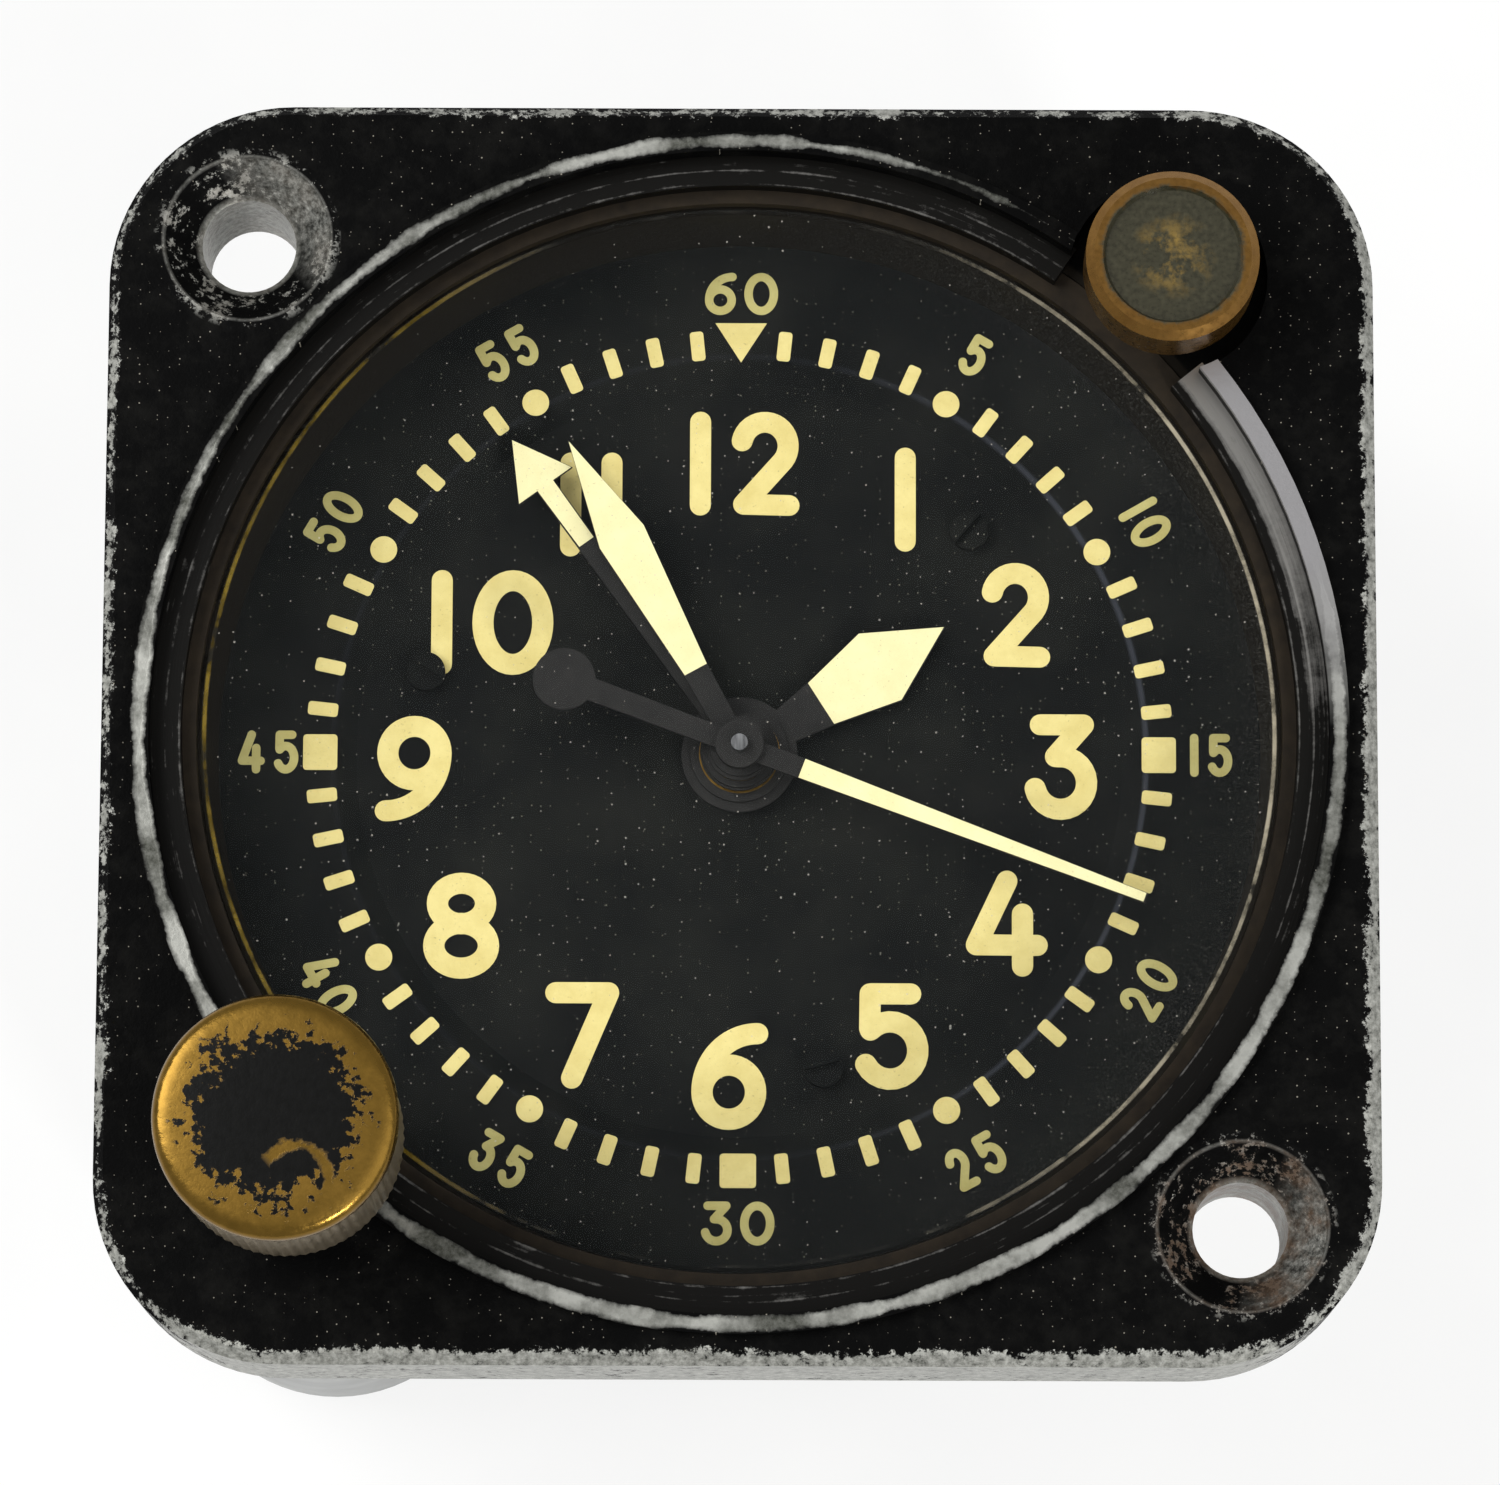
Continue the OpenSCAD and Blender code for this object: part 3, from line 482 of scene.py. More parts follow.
def luminous_finish(name, light, patchy):
    """Aged luminous paint: chalky, grainy and slightly uneven, with darker pinholes."""
    material, add, place = new_finish(name)
    # clouds about 1.7 mm across; the powder's grain is drawn 0.15 mm wide, coarse enough to show
    cloud = add("noise", place, 0.6, 5, 0.65)
    grain = add("noise", place, 7.0, 3)
    shade = add("remap", cloud, 0.35, 0.7, 0.0, patchy)
    pin = add("remap", grain, 0.66, 0.74, 0.0, 0.35)
    dark = (light[0] * 0.72, light[1] * 0.66, light[2] * 0.45, 1.0)
    colour = add("mix", shade, light, dark)
    colour = add("mix", pin, colour, "#6e5c33")
    bump = add("bump", 0.3, 0.00004, grain)
    return feed(material, Base_Color=colour, Roughness=0.8, Normal=bump)


def hand_finish():
    """Dark grey oxidised steel of the hands, mottled at about 1 mm."""
    material, add, place = new_finish("oxidised_steel_hands")
    mottle = add("noise", place, 1.1, 6, 0.7)
    colour = add("mix", mottle, "#161616", "#343331")
    shine = add("remap", mottle, 0.3, 0.7, 0.45, 0.62)
    return feed(material, Base_Color=colour, Metallic=0.3, Roughness=shine, Specular_IOR_Level=0.2)


def knob_finish(look):
    """Knurled brass, dull on the side, bright at the top edge, with a ragged rest of black paint on top."""
    material, add, place = new_finish("knurled_brass_paint_rest")
    local = add("shift", place, (*KNOB_AXIS, 0))
    _, _, z, flat, radius = round_parts(add, local)
    # the paint's edge is ragged in steps of about 1.3 mm and 0.5 mm
    rag = add("noise", place, 0.75, 5, 0.65)
    fine = add("noise", place, 2.2, 4, 0.6)
    ragged = add("add", rag, fine)
    limit = add("remap", ragged, 0.75, 1.25, 4.9, 2.9)
    paint = add("subtract", limit, radius)
    paint = add("remap", paint, -0.1, 0.15)
    top = add("remap", z, KNOB_TOP_Z - 0.25, KNOB_TOP_Z - 0.12)
    paint = add("multiply", paint, top)
    # curved scratch through the paint, low on the top
    offset = add("shift", flat, (1.0, -2.85, 0))
    beside = add("length", offset)
    beside = apart(add, beside, 1.5)
    wide = add("remap", ragged, 0.75, 1.25, 0.06, 0.36)
    beside = add("subtract", beside, wide)
    beside = add("remap", beside, -0.05, 0.1)
    lower = add("dot", offset, (0.75, 0.66, 0))
    lower = add("remap", lower, -0.6, -0.3, 1.0, 0.0)
    beside = add("maximum", beside, lower)
    paint = add("multiply", paint, beside)
    side = add("remap", z, KNOB_TOP_Z - 1.6, KNOB_TOP_Z - 0.5)
    dull = add("mix", fine, "#6b604f", "#a3967f")
    gold = add("mix", rag, "#5c4617", look.brass)
    metal = add("mix", side, dull, gold)
    colour = add("mix", paint, metal, "#0b0b0a")
    gleam = add("remap", paint, 0.0, 1.0, 0.92, 0.0)
    shine = add("remap", fine, 0.3, 0.7, 0.34, 0.5)
    # fingers keep the top edge polished
    handled = add("remap", radius, 4.9, 5.25, 0.0, 0.2)
    handled = add("multiply", handled, side)
    shine = add("subtract", shine, handled)
    bump = add("add", fine, paint)
    bump = add("bump", 0.3, 0.00008, bump)
    gloss = add("remap", paint, 0.0, 1.0, 0.5, 0.1)
    return feed(material, Base_Color=colour, Metallic=gleam, Roughness=shine, Specular_IOR_Level=gloss,
                Normal=bump)


def button_finish():
    """Worn brass button: coppery rim and side, dark stained middle with a brassy smear."""
    material, add, place = new_finish("worn_brass_stained_top")
    local = add("shift", place, (*BUTTON_AXIS, 0))
    *_, radius = round_parts(add, local)
    # stains about 1.2 mm across, and grain of about 0.25 mm
    cloud = add("noise", place, 0.8, 6, 0.7)
    fine = add("noise", place, 4.0, 4)
    edge = add("subtract", radius, cloud)
    middle = add("remap", edge, 2.75, 2.95, 1.0, 0.0)
    smear = add("remap", cloud, 0.48, 0.64, 0.0, 0.8)
    near = add("remap", radius, 2.2, 0.8)
    smear = add("multiply", smear, near)
    stain = add("mix", fine, "#201f16", "#45422f")
    stain = add("mix", smear, stain, "#8f7436")
    rim = add("mix", cloud, "#5e3f1a", "#957038")
    colour = add("mix", middle, rim, stain)
    gleam = add("remap", middle, 0.0, 1.0, 0.9, 0.35)
    shine = add("remap", fine, 0.3, 0.7, 0.22, 0.4)
    bump = add("bump", 0.2, 0.00006, cloud)
    return feed(material, Base_Color=colour, Metallic=gleam, Roughness=shine, Normal=bump)


def glass_finish():
    """Clear flat glass with fine dust, and a thin line along its raised edge: amber left, pale right."""
    material, add, place = new_finish("clear_instrument_glass")
    x, _, z, _, radius = round_parts(add, place)
    # dust grains up to about 0.1 mm wide, thicker in some places about 8 mm across than in others
    drift = add("noise", place, 0.12, 3)
    drift = add("remap", drift, 0.35, 0.65, 0.75, 1.2)
    speck = dust(add, place, 1.5, 0.55, 0.08, drift)
    top = add("remap", z, *GLASS_STEP_Z)
    outside = add("subtract", top, 1.0)
    speck = add("add", speck, outside)
    speck = add("remap", speck, 0.0, 0.02, 0.035, 0.4)
    # haze of fine dust towards the edge, mostly on the right, drawn 0.1 mm coarse so that it shows
    grain = add("noise", place, 9.0, 5, 0.8)
    grain = add("remap", grain, 0.45, 0.75, 0.0, 0.14)
    rim = add("remap", radius, 18.0, 25.0)
    right = add("remap", x, -12.0, 18.0, 0.2, 1.0)
    haze = row(add, "multiply", grain, rim, right, top)
    speck = add("add", speck, haze)
    # thin line 0.2 mm wide along the raised edge, uneven every 2 mm or so, mostly at the sides
    edge_line_breaks = add("noise", place, 0.5, 6, 0.7)
    edge_line_breaks = add("remap", edge_line_breaks, 0.35, 0.6, 0.1, 0.9)
    flank = add("absolute", x)
    flank = add("remap", flank, 8.0, 21.0, 0.1, 1.0)
    line = apart(add, radius, EDGE_LINE_R)
    line = add("remap", line, 0.06, 0.13, 1.0, 0.0)
    line = row(add, "multiply", line, edge_line_breaks, flank, top)
    cover = add("maximum", speck, line)
    pale = add("remap", cover, 0.05, 0.2)
    # the line is drawn amber on the left and pale on the right
    tone = add("remap", x, -15.0, -5.0)
    edge_line_tone = add("mix", tone, "#7a6518", "#a9a08a")
    mostly = add("remap", line, 0.03, 0.15)
    dust_and_edge_line = add("mix", mostly, "#b9b6aa", edge_line_tone)
    colour = add("mix", pale, "#3c4040", dust_and_edge_line)
    return feed(material, Base_Color=colour, Roughness=0.08, Alpha=cover)


def machined_finish(name, low, high, roughness, step):
    """Machined metal with cutting marks; step is their spacing in mm, drawn coarse enough to show."""
    material, add, place = new_finish(name)
    stretched = add("stretch", place, (1.0, 0.12, 1.0))
    marks = add("noise", stretched, 1.0 / step, 4, 0.6)
    # tarnish about 3 mm across
    cloud = add("noise", place, 0.35, 5)
    both = add("multiply", marks, cloud)
    both = add("remap", both, 0.12, 0.42)
    colour = add("mix", both, low, high)
    shine = add("remap", marks, 0.3, 0.7, roughness - 0.06, roughness + 0.08)
    bump = add("bump", 0.15, 0.00003, marks)
    return feed(material, Base_Color=colour, Metallic=1.0, Roughness=shine, Normal=bump)


def dress(material, *names):
    """Gives CAD nodes a finish."""
    for name in names:
        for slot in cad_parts[name].material_slots:
            slot.material = material


def piece(name, mesh, material, body):
    """A finished mesh object that rides on a body."""
    mesh.materials.clear()
    mesh.materials.append(material)
    made = bpy.data.objects.new(name, mesh)
    bpy.context.scene.collection.objects.link(made)
    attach(made, body)
    return made


def arc(cx, cy, rx, ry, start, end, steps=20):
    """Points on an ellipse from one angle to another, in degrees."""
    turns = [math.radians(start + (end - start) * i / steps) for i in range(steps + 1)]
    return [(cx + rx * math.cos(t), cy + ry * math.sin(t)) for t in turns]


# centre lines of the numerals for a body 4.1 high and about 2.6 wide, origin in the middle
STROKES = {
    "0": [arc(0, 0, 1.5, 2.05, 0, 360, 40)],
    "1": [[(0, 2.05), (0, -2.05)]],
    "2": [arc(-0.02, 0.88, 1.17, 1.17, 168, -38) + [(-1.08, -2.0), (1.2, -2.05)]],
    "3": [[(-1.0, 2.05), (1.15, 2.05), (-0.25, 0.5)] + arc(0, -0.78, 1.3, 1.28, 96, -168)],
    "4": [[(0.05, 2.05), (-1.47, -1.03), (1.55, -1.05)], [(0.82, 0.46), (0.82, -2.05)]],
    "5": [[(1.05, 2.05), (-0.96, 2.05), (-0.98, 0.4)] + arc(0.03, -0.67, 1.38, 1.38, 135, -151)],
    "6": [arc(0, -0.76, 1.33, 1.3, 0, 360, 36), arc(1.42, -0.76, 2.75, 2.81, 90, 178)],
    "7": [[(-1.32, 2.05), (1.3, 2.05), (-0.5, -2.05)]],
    "8": [arc(0, 1.07, 1.2, 0.98, 0, 360, 32), arc(0, -0.97, 1.36, 1.08, 0, 360, 36)],
    "9": [arc(0, 0.76, 1.33, 1.3, 0, 360, 36), arc(-1.42, 0.76, 2.75, 2.81, 270, 358)],
}
STROKE_BODY = 4.1
HALF_WIDTH = {
    "0": 1.5, "1": 0.0, "2": 1.2, "3": 1.3, "4": 1.5, "5": 1.38, "6": 1.38, "7": 1.32, "8": 1.36, "9": 1.38,
}
# space between two figures, as a share of the stroke
FIGURE_GAP = 0.95
# each run of a figure stands this much higher than the last, so that no two tops share a plane
RUN_STEP = 0.003
# a stroke is widened at a bend by one over the cosine of half its angle, which is taken as no less
LEAST_MITRE = 0.55


def runs(points, bend=35):
    """Splits a centre line at its sharp corners, so that each corner gets round ends."""
    parts = [[points[0]]]
    for before, here, after in zip(points, points[1:], points[2:]):
        parts[-1].append(here)
        a = Vector((here[0] - before[0], here[1] - before[1]))
        b = Vector((after[0] - here[0], after[1] - here[1]))
        if math.degrees(a.angle(b)) > bend:
            parts.append([here])
    parts[-1].append(points[-1])
    return parts


def mesh_of(shape, name):
    """Turns a bmesh into a mesh and frees it."""
    mesh = bpy.data.meshes.new(name)
    shape.to_mesh(mesh)
    shape.free()
    return mesh


def prism(shape, outline, place, low, high):
    """Adds the top and the walls of a flat prism to a bmesh, set out by place, and gives back its feet."""
    tops = [shape.verts.new(place @ Vector((u, v, high))) for u, v in outline]
    feet = [shape.verts.new(place @ Vector((u, v, low))) for u, v in outline]
    shape.faces.new(tops)
    for i in range(len(outline)):
        j = (i + 1) % len(outline)
        shape.faces.new((feet[i], feet[j], tops[j], tops[i]))
    return feet


def ribbon(shape, points, width, place, low, high):
    """Adds a flat round-ended stroke to a bmesh, from low to high; place maps its plane to the dial."""
    closed = math.dist(points[0], points[-1]) < 1e-6
    path = points[:-1] if closed else points
    half = width / 2
    count = len(path)
    left, right = [], []
    for i, (px, py) in enumerate(path):
        before = path[i - 1] if closed or i else path[0]
        after = path[(i + 1) % count] if closed or i < count - 1 else path[-1]
        a = Vector((px - before[0], py - before[1]))
        b = Vector((after[0] - px, after[1] - py))
        a = (a if a.length > 1e-9 else b).normalized()
        b = (b if b.length > 1e-9 else a).normalized()
        mean = (a + b).normalized()
        grow = half / max(LEAST_MITRE, mean.dot(a))
        side = Vector((-mean.y, mean.x)) * grow
        left.append((px + side.x, py + side.y))
        right.append((px - side.x, py - side.y))
    loops = []
    for i in range(count if closed else count - 1):
        j = (i + 1) % count
        loops.append([right[i], right[j], left[j], left[i]])
    if not closed:
        for end, near in ((path[0], path[1]), (path[-1], path[-2])):
            heading = math.degrees(math.atan2(end[1] - near[1], end[0] - near[0]))
            loops.append(arc(end[0], end[1], half, half, heading - 90, heading + 90, 10))
    for loop in loops:
        prism(shape, loop, place, low, high)


def number(shape, text, height, stroke, x, y, turn, low, high, squeeze=1.0):
    """Adds a number to a bmesh, middle at x and y, turned counter-clockwise in degrees."""
    scale = (height - stroke) / STROKE_BODY
    gap = stroke * FIGURE_GAP
    widths = [2 * HALF_WIDTH[c] * scale * squeeze + stroke for c in text]
    along = -(sum(widths) + gap * (len(text) - 1)) / 2
    for c, wide in zip(text, widths):
        middle = along + wide / 2
        place = (Matrix.Translation((x * MM, y * MM, 0)) @ Matrix.Rotation(math.radians(turn), 4, "Z")
                 @ Matrix.Translation((middle * MM, 0, 0)) @ Matrix.Diagonal((MM, MM, MM, 1)))
        for k, points in enumerate(part for line in STROKES[c] for part in runs(line)):
            path = [(u * scale * squeeze, v * scale) for u, v in points]
            ribbon(shape, path, stroke, place, low, high + RUN_STEP * k)
        along += wide + gap


def slab(outline, low, high, clockwise):
    """A flat prism from an outline in millimetres drawn along 12 o'clock, then turned clockwise."""
    shape = bmesh.new()
    turn = Matrix.Rotation(math.radians(-clockwise), 4, "Z") @ Matrix.Diagonal((MM, MM, MM, 1))
    feet = prism(shape, outline, turn, low, high)
    shape.faces.new(feet[::-1])
    bmesh.ops.recalc_face_normals(shape, faces=shape.faces)
    return mesh_of(shape, "slab")


def new_tree(name, **sockets):
    """An empty geometry tree with inputs of the kinds given: itself, its node adder and its inputs."""
    tree = bpy.data.node_groups.new(name, "GeometryNodeTree")
    face = tree.interface
    face.new_socket("Geometry", in_out="OUTPUT", socket_type="NodeSocketGeometry")
    for socket, kind in sockets.items():
        face.new_socket(socket, in_out="INPUT", socket_type="NodeSocket" + kind)
    add = partial(node, tree)
    return tree, add, add("NodeGroupInput").node.outputs


def end_tree(add, given, shape, place):
    """Ends a geometry tree: moves the shape to its place, makes it real and gives it its material."""
    shape = add("GeometryNodeTransform", shape, named={"Translation": place})
    shape = add("GeometryNodeRealizeInstances", shape)
    shape = add("GeometryNodeSetMaterial", shape, named={"Material": given["Material"]})
    add("NodeGroupOutput", shape)


def marks_tree(kind):
    """Geometry nodes that set ticks, dots or squares round a circle, counted from 3 o'clock in minutes."""
    tree, add, given = new_tree("ring_of_" + kind, Radius="Float", Length="Float", Width="Float",
                                Corner="Float", Height="Float", Level="Float", Material="Material")
    ring = add("GeometryNodeMeshCircle", MARK_COUNT, given["Radius"])
    index = add("GeometryNodeInputIndex")
    fifth = add("modulo", index, 5.0)
    fifth = add("less_than", fifth, 0.5)
    quarter = add("modulo", index, 15.0)
    quarter = add("less_than", quarter, 0.5)
    if kind == "ticks":
        keep = add("subtract", 1.0, fifth)
    elif kind == "dots":
        keep = add("subtract", fifth, quarter)
    else:
        # the triangle stands at noon
        noon = add("compare", index, 15.0, 0.1)
        keep = add("subtract", quarter, noon)
    if kind == "dots":
        radius = add("multiply", given["Width"], 0.5)
        mark = add("GeometryNodeMeshCylinder", DOT_SIDES, named={"Radius": radius, "Depth": given["Height"]})
    else:
        edge = add("GeometryNodeCurvePrimitiveQuadrilateral", given["Length"], given["Width"])
        edge = add("GeometryNodeFilletCurve", edge, mode="POLY",
                   named={"Radius": given["Corner"], "Count": 5})
        plate = add("GeometryNodeFillCurve", edge)
        mark = add("GeometryNodeExtrudeMesh", plate,
                   named={"Offset Scale": given["Height"], "Individual": False})
        drop = add("multiply", given["Height"], -0.5)
        drop = add("join", 0.0, 0.0, drop)
        mark = add("GeometryNodeTransform", mark, named={"Translation": drop})
    angle = add("multiply", index, 2 * math.pi / MARK_COUNT)
    turn = add("join", 0.0, 0.0, angle)
    set_out = add("GeometryNodeInstanceOnPoints", ring, keep, mark, named={"Rotation": turn})
    end_tree(add, given, set_out, add("join", 0.0, 0.0, given["Level"]))
    return tree


def coil_tree():
    """Geometry nodes that bend a round wire into a compression spring."""
    tree, add, given = new_tree("wire_coil", Radius="Float", Wire="Float", Rise="Float", Turns="Float",
                                Foot="Vector", Material="Material")
    path = add("GeometryNodeCurveSpiral", 24, named={
        "Rotations": given["Turns"], "Start Radius": given["Radius"], "End Radius": given["Radius"],
        "Height": given["Rise"]})
    section = add("GeometryNodeCurvePrimitiveCircle", named={"Resolution": 10, "Radius": given["Wire"]})
    wire = add("GeometryNodeCurveToMesh", path, section, named={"Fill Caps": True})
    end_tree(add, given, wire, given["Foot"])
    return tree


def grown(tree, **inputs):
    """Runs a geometry tree on an empty object and gives back a plain mesh."""
    holder = bpy.data.objects.new(tree.name, bpy.data.meshes.new(tree.name))
    bpy.context.scene.collection.objects.link(holder)
    work = holder.modifiers.new("grow", "NODES")
    work.node_group = tree
    for item in tree.interface.items_tree:
        if item.in_out == "INPUT":
            work[item.identifier] = inputs[item.name]
    bpy.context.view_layer.update()
    mesh = bpy.data.meshes.new_from_object(holder.evaluated_get(bpy.context.evaluated_depsgraph_get()))
    bpy.data.objects.remove(holder)
    return mesh


class ClockFinishes(bpy.types.Operator):
    """Gives every solid of the clock its finish"""

    bl_idname = "clock.finishes"
    bl_label = "Finishes"

    def execute(self, context):
        look = context.scene.clock_finish
        dress(flange_finish(look), "bezel_flange")
        dress(plain_paint_finish(look), "rear_cover")
        dress(ring_finish(), "snap_ring")
        dress(seal_finish(), "glass_gasket", "rear_gasket")
        dress(dial_finish(look), "dial", "dial_screws")
        dress(hand_finish(), "hour_hand", "minute_hand", "elapsed_hand", "sweep_hand")
        dress(button_finish(), "button")
        dress(glass_finish(), "glass")
        dress(machined_finish("cut_wheel_brass", "#8f6d2c", "#c9a24e", 0.32, 0.25),
              "hour_wheel", "minute_wheel", "setting_wheel", "recorder_wheel", "recorder_idler",
              "sweep_wheel", "sweep_idler", "mainspring_barrel", "barrel_cover", "second_wheel",
              "centre_wheel", "third_wheel", "fourth_wheel", "escape_wheel", "balance_wheel",
              "knob_bushing", "button_bushing")
        dress(machined_finish("brushed_plate_brass", "#8c7136", "#cdb26a", 0.36, 0.4),
              "front_plate", "back_plate", "pillars", "balance_cock")
        dress(machined_finish("ground_steel", "#6e6f70", "#b9babb", 0.3, 0.2),
              "cannon_pinion", "sweep_arbor", "heart_cam", "barrel_arbor", "ratchet_wheel", "click",
              "pallet_fork", "balance_staff", "winding_stem", "setting_yoke", "reset_lever", "lever_pin",
              "reset_hammer", "knob_screw", "case_screws", "rear_cover_screws")
        dress(machined_finish("blued_steel", "#1c2748", "#41558f", 0.3, 0.2),
              "plate_screws", "bridge_screws", "hammer_screws", "mainspring", "hairspring")
        dress(machined_finish("turned_aluminium", "#85878a", "#c4c6c8", 0.36, 0.3), "movement_ring")
        dress(machined_finish("drawn_aluminium_can", "#989998", "#b3b4b2", 0.46, 0.3), "case_can")
        return {"FINISHED"}


class ClockMarks(bpy.types.Operator):
    """Sets out the minute ticks, dots, squares and the triangle at 60"""

    bl_idname = "clock.marks"
    bl_label = "Minute Marks"

    def execute(self, context):
        dial = context.scene.clock_dial
        paint = luminous_finish("cream_luminous_paint_marks", context.scene.clock_finish.cream, 0.45)
        high = dial.paint_height
        for kind, (inset, length, width, corner) in MARKS.items():
            mesh = grown(marks_tree(kind), Radius=dial.tick_radius - inset * MM, Length=length * MM,
                         Width=width * MM, Corner=corner * MM, Height=high,
                         Level=DIAL_RING_Z * MM + high / 2, Material=paint)
            piece("minute_" + kind, mesh, paint, "case")
        mesh = slab(TRIANGLE, DIAL_RING_Z, DIAL_RING_Z + high / MM, 0)
        piece("minute_triangle", mesh, paint, "case")
        return {"FINISHED"}


class ClockNumerals(bpy.types.Operator):
    """Draws the hour and minute numerals"""

    bl_idname = "clock.numerals"
    bl_label = "Numerals"

    def execute(self, context):
        dial = context.scene.clock_dial
        look = context.scene.clock_finish
        high = dial.paint_height / MM
        height = dial.numeral_height / MM
        stroke = dial.numeral_stroke / MM
        hours = bmesh.new()
        for hour, (x, y) in HOUR_PLACES.items():
            number(hours, str(hour), height, stroke, x, y, 0, DIAL_FLOOR_Z, DIAL_FLOOR_Z + high,
                   HOUR_SQUEEZE)
        height = dial.small_height / MM
        stroke = dial.small_stroke / MM
        radius = dial.small_radius / MM
        minutes = bmesh.new()
        for minute in range(5, 61, 5):
            clockwise = minute * 6
            x = radius * math.sin(math.radians(clockwise))
            y = radius * math.cos(math.radians(clockwise))
            tilt = 0 if minute % 15 == 0 else -clockwise
            if minute in FLIPPED_MINUTES:
                tilt += 180
            squeeze = 1.0 if minute in WIDE_MINUTES else MINUTE_SQUEEZE
            # the small print is half as thick as the paint
            number(minutes, str(minute), height, stroke, x, y, tilt, DIAL_RING_Z, DIAL_RING_Z + high / 2,
                   squeeze)
        paint = luminous_finish("cream_luminous_paint", look.cream, 0.5)
        piece("hour_numerals", mesh_of(hours, "hour_numerals"), paint, "case")
        paint = luminous_finish("faded_minute_print", look.dim_cream, 0.6)
        piece("minute_numerals", mesh_of(minutes, "minute_numerals"), paint, "case")
        return {"FINISHED"}


class ClockHandPaint(bpy.types.Operator):
    """Lays the luminous paint on the four hands"""

    bl_idname = "clock.hand_paint"
    bl_label = "Hand Paint"

    def execute(self, context):
        paint = luminous_finish("pale_luminous_hand_paint", context.scene.clock_finish.pale_cream, 0.25)
        high = context.scene.clock_dial.paint_height / MM
        for hand, outline in HAND_PAINT.items():
            level, turn = HANDS[hand]
            mesh = slab(outline, level - PAINT_SINK, level + high, turn)
            piece(hand + "_hand_paint", mesh, paint, hand + "_body")
        return {"FINISHED"}


class ClockKnob(bpy.types.Operator):
    """Turns the knurled winding knob"""

    bl_idname = "clock.knob"
    bl_label = "Winding Knob"

    def execute(self, context):
        # outline from the foot's bore to the middle of the top: radius, height, share of the knurl's depth
        profile = [(1.15, KNOB_FOOT_Z, 0), (4.6, KNOB_FOOT_Z, 0), (5.3, KNOB_FOOT_Z + 0.05, 0),
                   (5.45, KNOB_FOOT_Z + 0.3, 0.4), (5.5, KNOB_FOOT_Z + 0.8, 1), (5.56, KNOB_TOP_Z - 2.2, 1),
                   (5.58, KNOB_TOP_Z - 1.5, 1), (5.6, KNOB_TOP_Z - 1.15, 0.3), (5.62, KNOB_TOP_Z - 0.85, 0),
                   (5.58, KNOB_TOP_Z - 0.6, 0), (5.45, KNOB_TOP_Z - 0.38, 0), (5.2, KNOB_TOP_Z - 0.22, 0),
                   (4.7, KNOB_TOP_Z - 0.12, 0), (3.2, KNOB_TOP_Z - 0.04, 0), (1.6, KNOB_TOP_Z, 0)]
        steps = KNURL_RIBS * 4
        shape = bmesh.new()
        rows = []
        for radius, z, cut in profile:
            row = []
            for i in range(steps):
                turn = 2 * math.pi * i / steps
                r = radius - KNURL_DEPTH * cut * (0.5 - 0.5 * math.cos(turn * KNURL_RIBS))
                row.append(shape.verts.new(((KNOB_AXIS[0] + r * math.cos(turn)) * MM,
                                            (KNOB_AXIS[1] + r * math.sin(turn)) * MM, z * MM)))
            rows.append(row)
        for lower, upper in zip(rows, rows[1:]):
            for i in range(steps):
                j = (i + 1) % steps
                shape.faces.new((lower[i], lower[j], upper[j], upper[i]))
        shape.faces.new(rows[-1])
        shape.faces.new(rows[0][::-1])
        for face in shape.faces:
            face.smooth = True
        brass = knob_finish(context.scene.clock_finish)
        made = piece("knurled_knob", mesh_of(shape, "knob_turned"), brass, "stem_body")
        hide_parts("knob")
        return {"FINISHED"}


class ClockSpring(bpy.types.Operator):
    """Winds the return spring under the button"""

    bl_idname = "clock.spring"
    bl_label = "Button Spring"

    def execute(self, context):
        steel = machined_finish("drawn_spring_wire", "#6e6f70", "#b9babb", 0.32, 0.2)
        foot = (BUTTON_AXIS[0] * MM, BUTTON_AXIS[1] * MM, (SPRING_FOOT_Z + SPRING_WIRE_R) * MM)
        rise = SPRING_TOP_Z - SPRING_FOOT_Z - 2 * SPRING_WIRE_R
        mesh = grown(coil_tree(), Radius=SPRING_COIL_R * MM, Wire=SPRING_WIRE_R * MM, Rise=rise * MM,
                     Turns=SPRING_TURNS, Foot=foot, Material=steel)
        made = piece("button_spring_coil", mesh, steel, "case")
        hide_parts("button_spring")
        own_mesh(made)
        return {"FINISHED"}


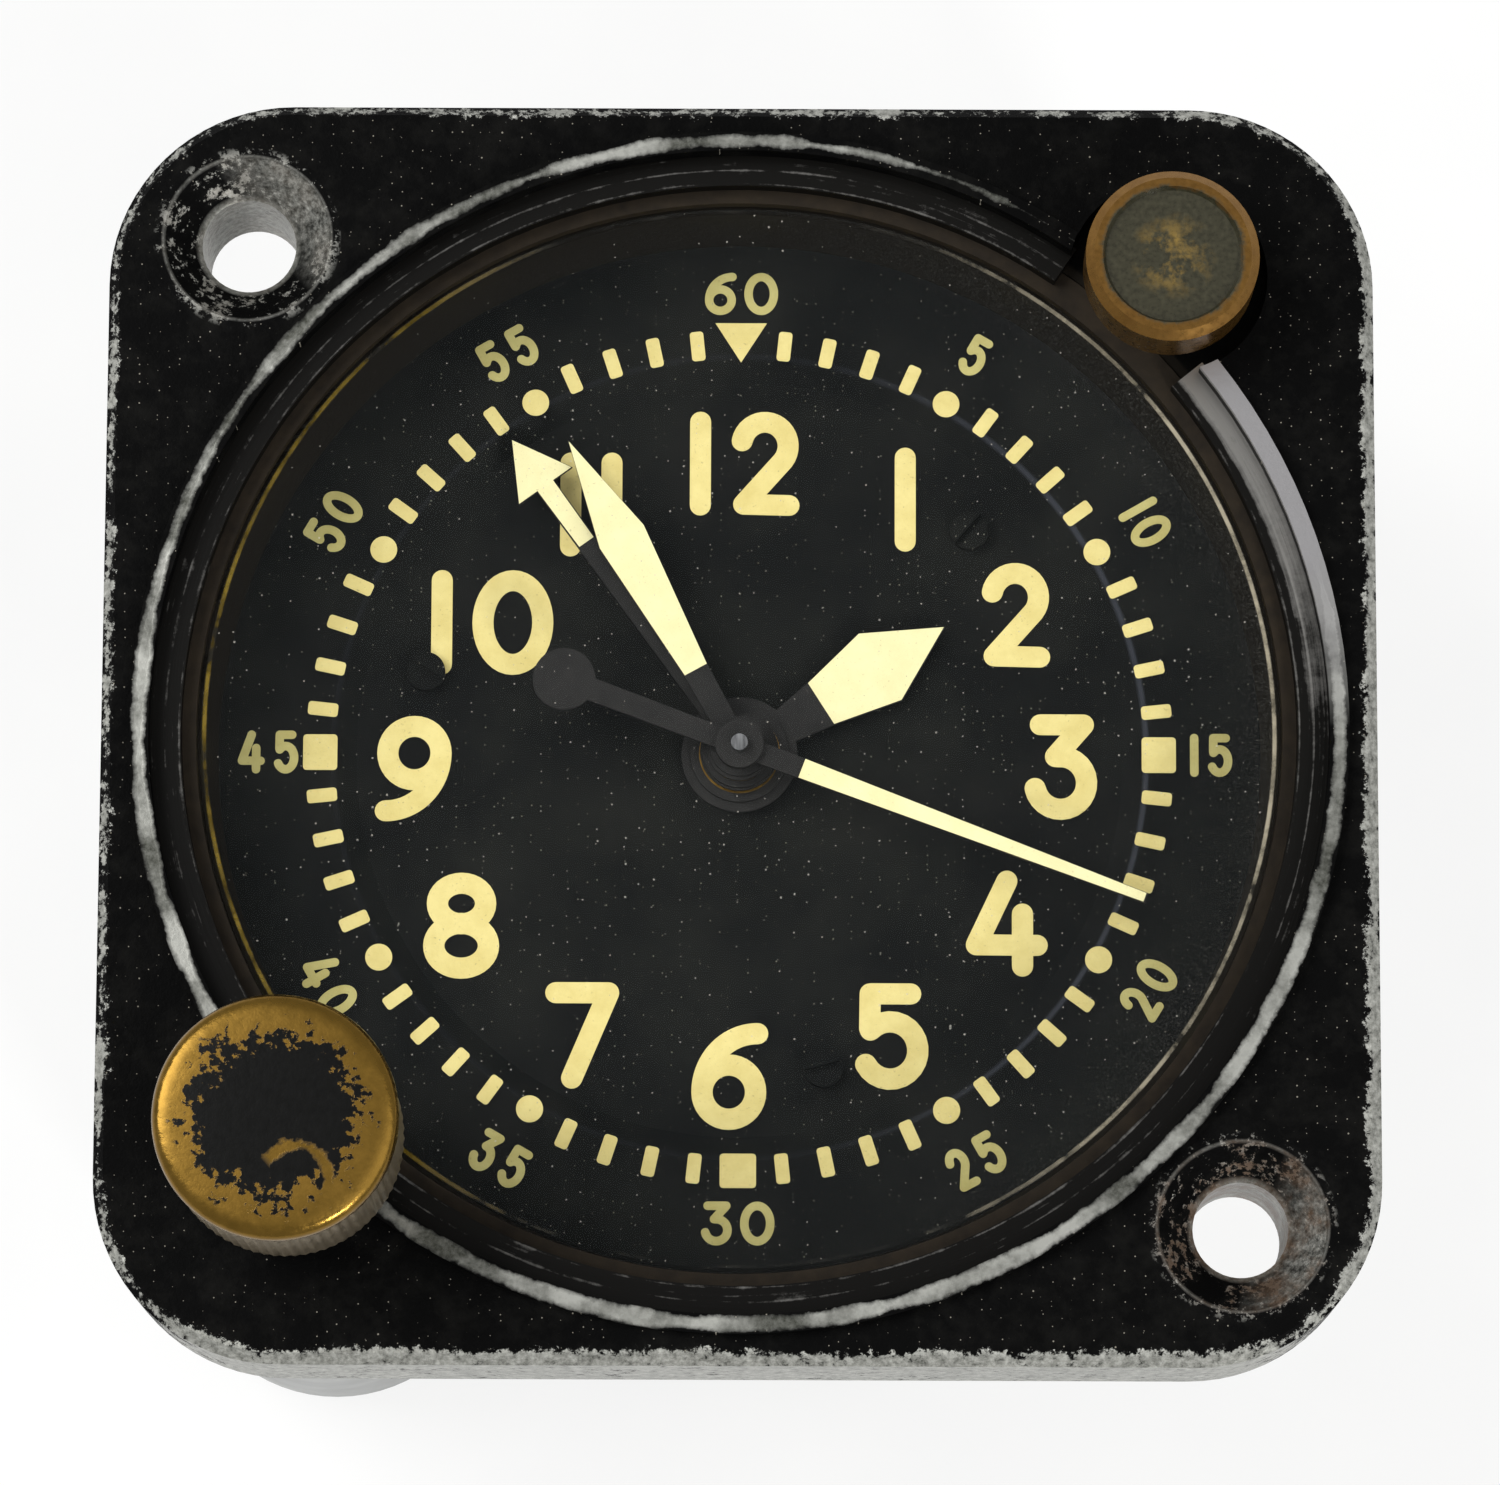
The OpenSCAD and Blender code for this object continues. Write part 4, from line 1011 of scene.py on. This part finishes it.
class ClockStage(bpy.types.Operator):
    """Sets the pale floor, the soft lights and the camera"""

    bl_idname = "clock.stage"
    bl_label = "Stage"

    def execute(self, context):
        scene = context.scene
        stage = scene.clock_stage
        scene.view_settings.view_transform = "Standard"
        self.floor(scene)
        self.sky(scene, stage)
        # name, place and side in metres, and power
        lamps = (("key", (-0.4, 0.15, 0.5), 0.4, stage.key_watts),
                 ("fill", (0.4, -0.15, 0.45), 0.5, stage.fill_watts),
                 ("glint", (0.2, -0.34, 0.3), 0.07, stage.glint_watts))
        for name, place, size, watts in lamps:
            lamp = bpy.data.lights.new(name, "AREA")
            lamp.size = size
            lamp.energy = watts
            made = bpy.data.objects.new(name, lamp)
            made.location = place
            aim = Vector((0, 0, 0.03)) - made.location
            made.rotation_euler = aim.to_track_quat("-Z", "Y").to_euler()
            scene.collection.objects.link(made)
        eye = bpy.data.cameras.new("photo_view")
        eye.sensor_fit = "HORIZONTAL"
        eye.sensor_width = SENSOR_WIDTH
        eye.lens = stage.lens
        eye.clip_start = 0.01
        camera = bpy.data.objects.new("photo_view", eye)
        right = Vector(CAMERA_RIGHT)
        up = Vector(CAMERA_UP)
        turn = Matrix((right, up, right.cross(up))).transposed()
        camera.matrix_world = Matrix.Translation(CAMERA_PLACE) @ turn.to_4x4()
        scene.collection.objects.link(camera)
        scene.camera = camera
        return {"FINISHED"}

    def floor(self, scene):
        """A pale sheet that shows white to the camera and keeps the shadow."""
        shape = bmesh.new()
        bmesh.ops.create_grid(shape, x_segments=2, y_segments=2, size=FLOOR_HALF)
        mesh = mesh_of(shape, "pale_floor")
        material, add, place = new_finish("pale_paper_floor")
        # faint shading about 17 mm across
        fibre = add("noise", place, 0.06, 5)
        colour = add("mix", fibre, "#f6f6f6", "#fdfdfc")
        feed(material, Base_Color=colour, Roughness=0.9)
        path = add("ShaderNodeLightPath").node.outputs
        seen = row(add, "add", path["Is Camera Ray"], path["Is Glossy Ray"], path["Is Transmission Ray"])
        seen = add("minimum", seen, 0.82)
        glow = add("ShaderNodeEmission", colour, 1.0)
        tree = material.node_tree
        mixed = add("ShaderNodeMixShader", seen, tree.nodes["Principled BSDF"].outputs[0], glow)
        fill(tree, tree.nodes["Material Output"].inputs["Surface"], mixed)
        mesh.materials.append(material)
        made = bpy.data.objects.new("pale_floor", mesh)
        made.location.z = -FLOOR_DROP
        scene.collection.objects.link(made)

    def sky(self, scene, stage):
        """Even light from all round, white where the camera sees it."""
        world = bpy.data.worlds.new("soft_sky")
        world.use_nodes = True
        scene.world = world
        tree = world.node_tree
        add = partial(node, tree)
        path = add("ShaderNodeLightPath").node.outputs
        seen = add("add", path["Is Camera Ray"], path["Is Transmission Ray"], use_clamp=True)
        strength = add("remap", seen, 0.0, 1.0, stage.sky, 1.0)
        back = tree.nodes["Background"]
        fill(tree, back.inputs["Color"], "#f7f8f9")
        fill(tree, back.inputs["Strength"], strength)


class ClockPanel(bpy.types.Panel):
    """Lists the steps that dress the clock"""

    bl_idname = "VIEW3D_PT_clock"
    bl_label = "Aircraft Clock"
    bl_space_type = "VIEW_3D"
    bl_region_type = "UI"
    bl_category = "Clock"

    def draw(self, context):
        for step in STEPS:
            self.layout.operator(step.bl_idname)
        for group, _ in GROUPS:
            settings = getattr(context.scene, group)
            box = self.layout.box()
            for name in settings.bl_rna.properties.keys():
                if name not in ("rna_type", "name"):
                    box.prop(settings, name)


STEPS = (ClockFinishes, ClockMarks, ClockNumerals, ClockHandPaint, ClockKnob, ClockSpring, ClockStage)
GROUPS = (("clock_dial", ClockDialSettings), ("clock_finish", ClockFinishSettings),
          ("clock_stage", ClockStageSettings))


def register():
    """Registers the settings, the steps and the panel."""
    for name, group in GROUPS:
        bpy.utils.register_class(group)
        setattr(bpy.types.Scene, name, PointerProperty(type=group))
    for cls in (*STEPS, ClockPanel):
        bpy.utils.register_class(cls)


def unregister():
    """Takes them out again."""
    for cls in reversed((*STEPS, ClockPanel)):
        bpy.utils.unregister_class(cls)
    for name, group in reversed(GROUPS):
        delattr(bpy.types.Scene, name)
        bpy.utils.unregister_class(group)


def main():
    """Runs the steps in order."""
    register()
    bpy.ops.clock.finishes()
    bpy.ops.clock.marks()
    bpy.ops.clock.numerals()
    bpy.ops.clock.hand_paint()
    bpy.ops.clock.knob()
    bpy.ops.clock.spring()
    bpy.ops.clock.stage()


if __name__ == "__main__":
    main()
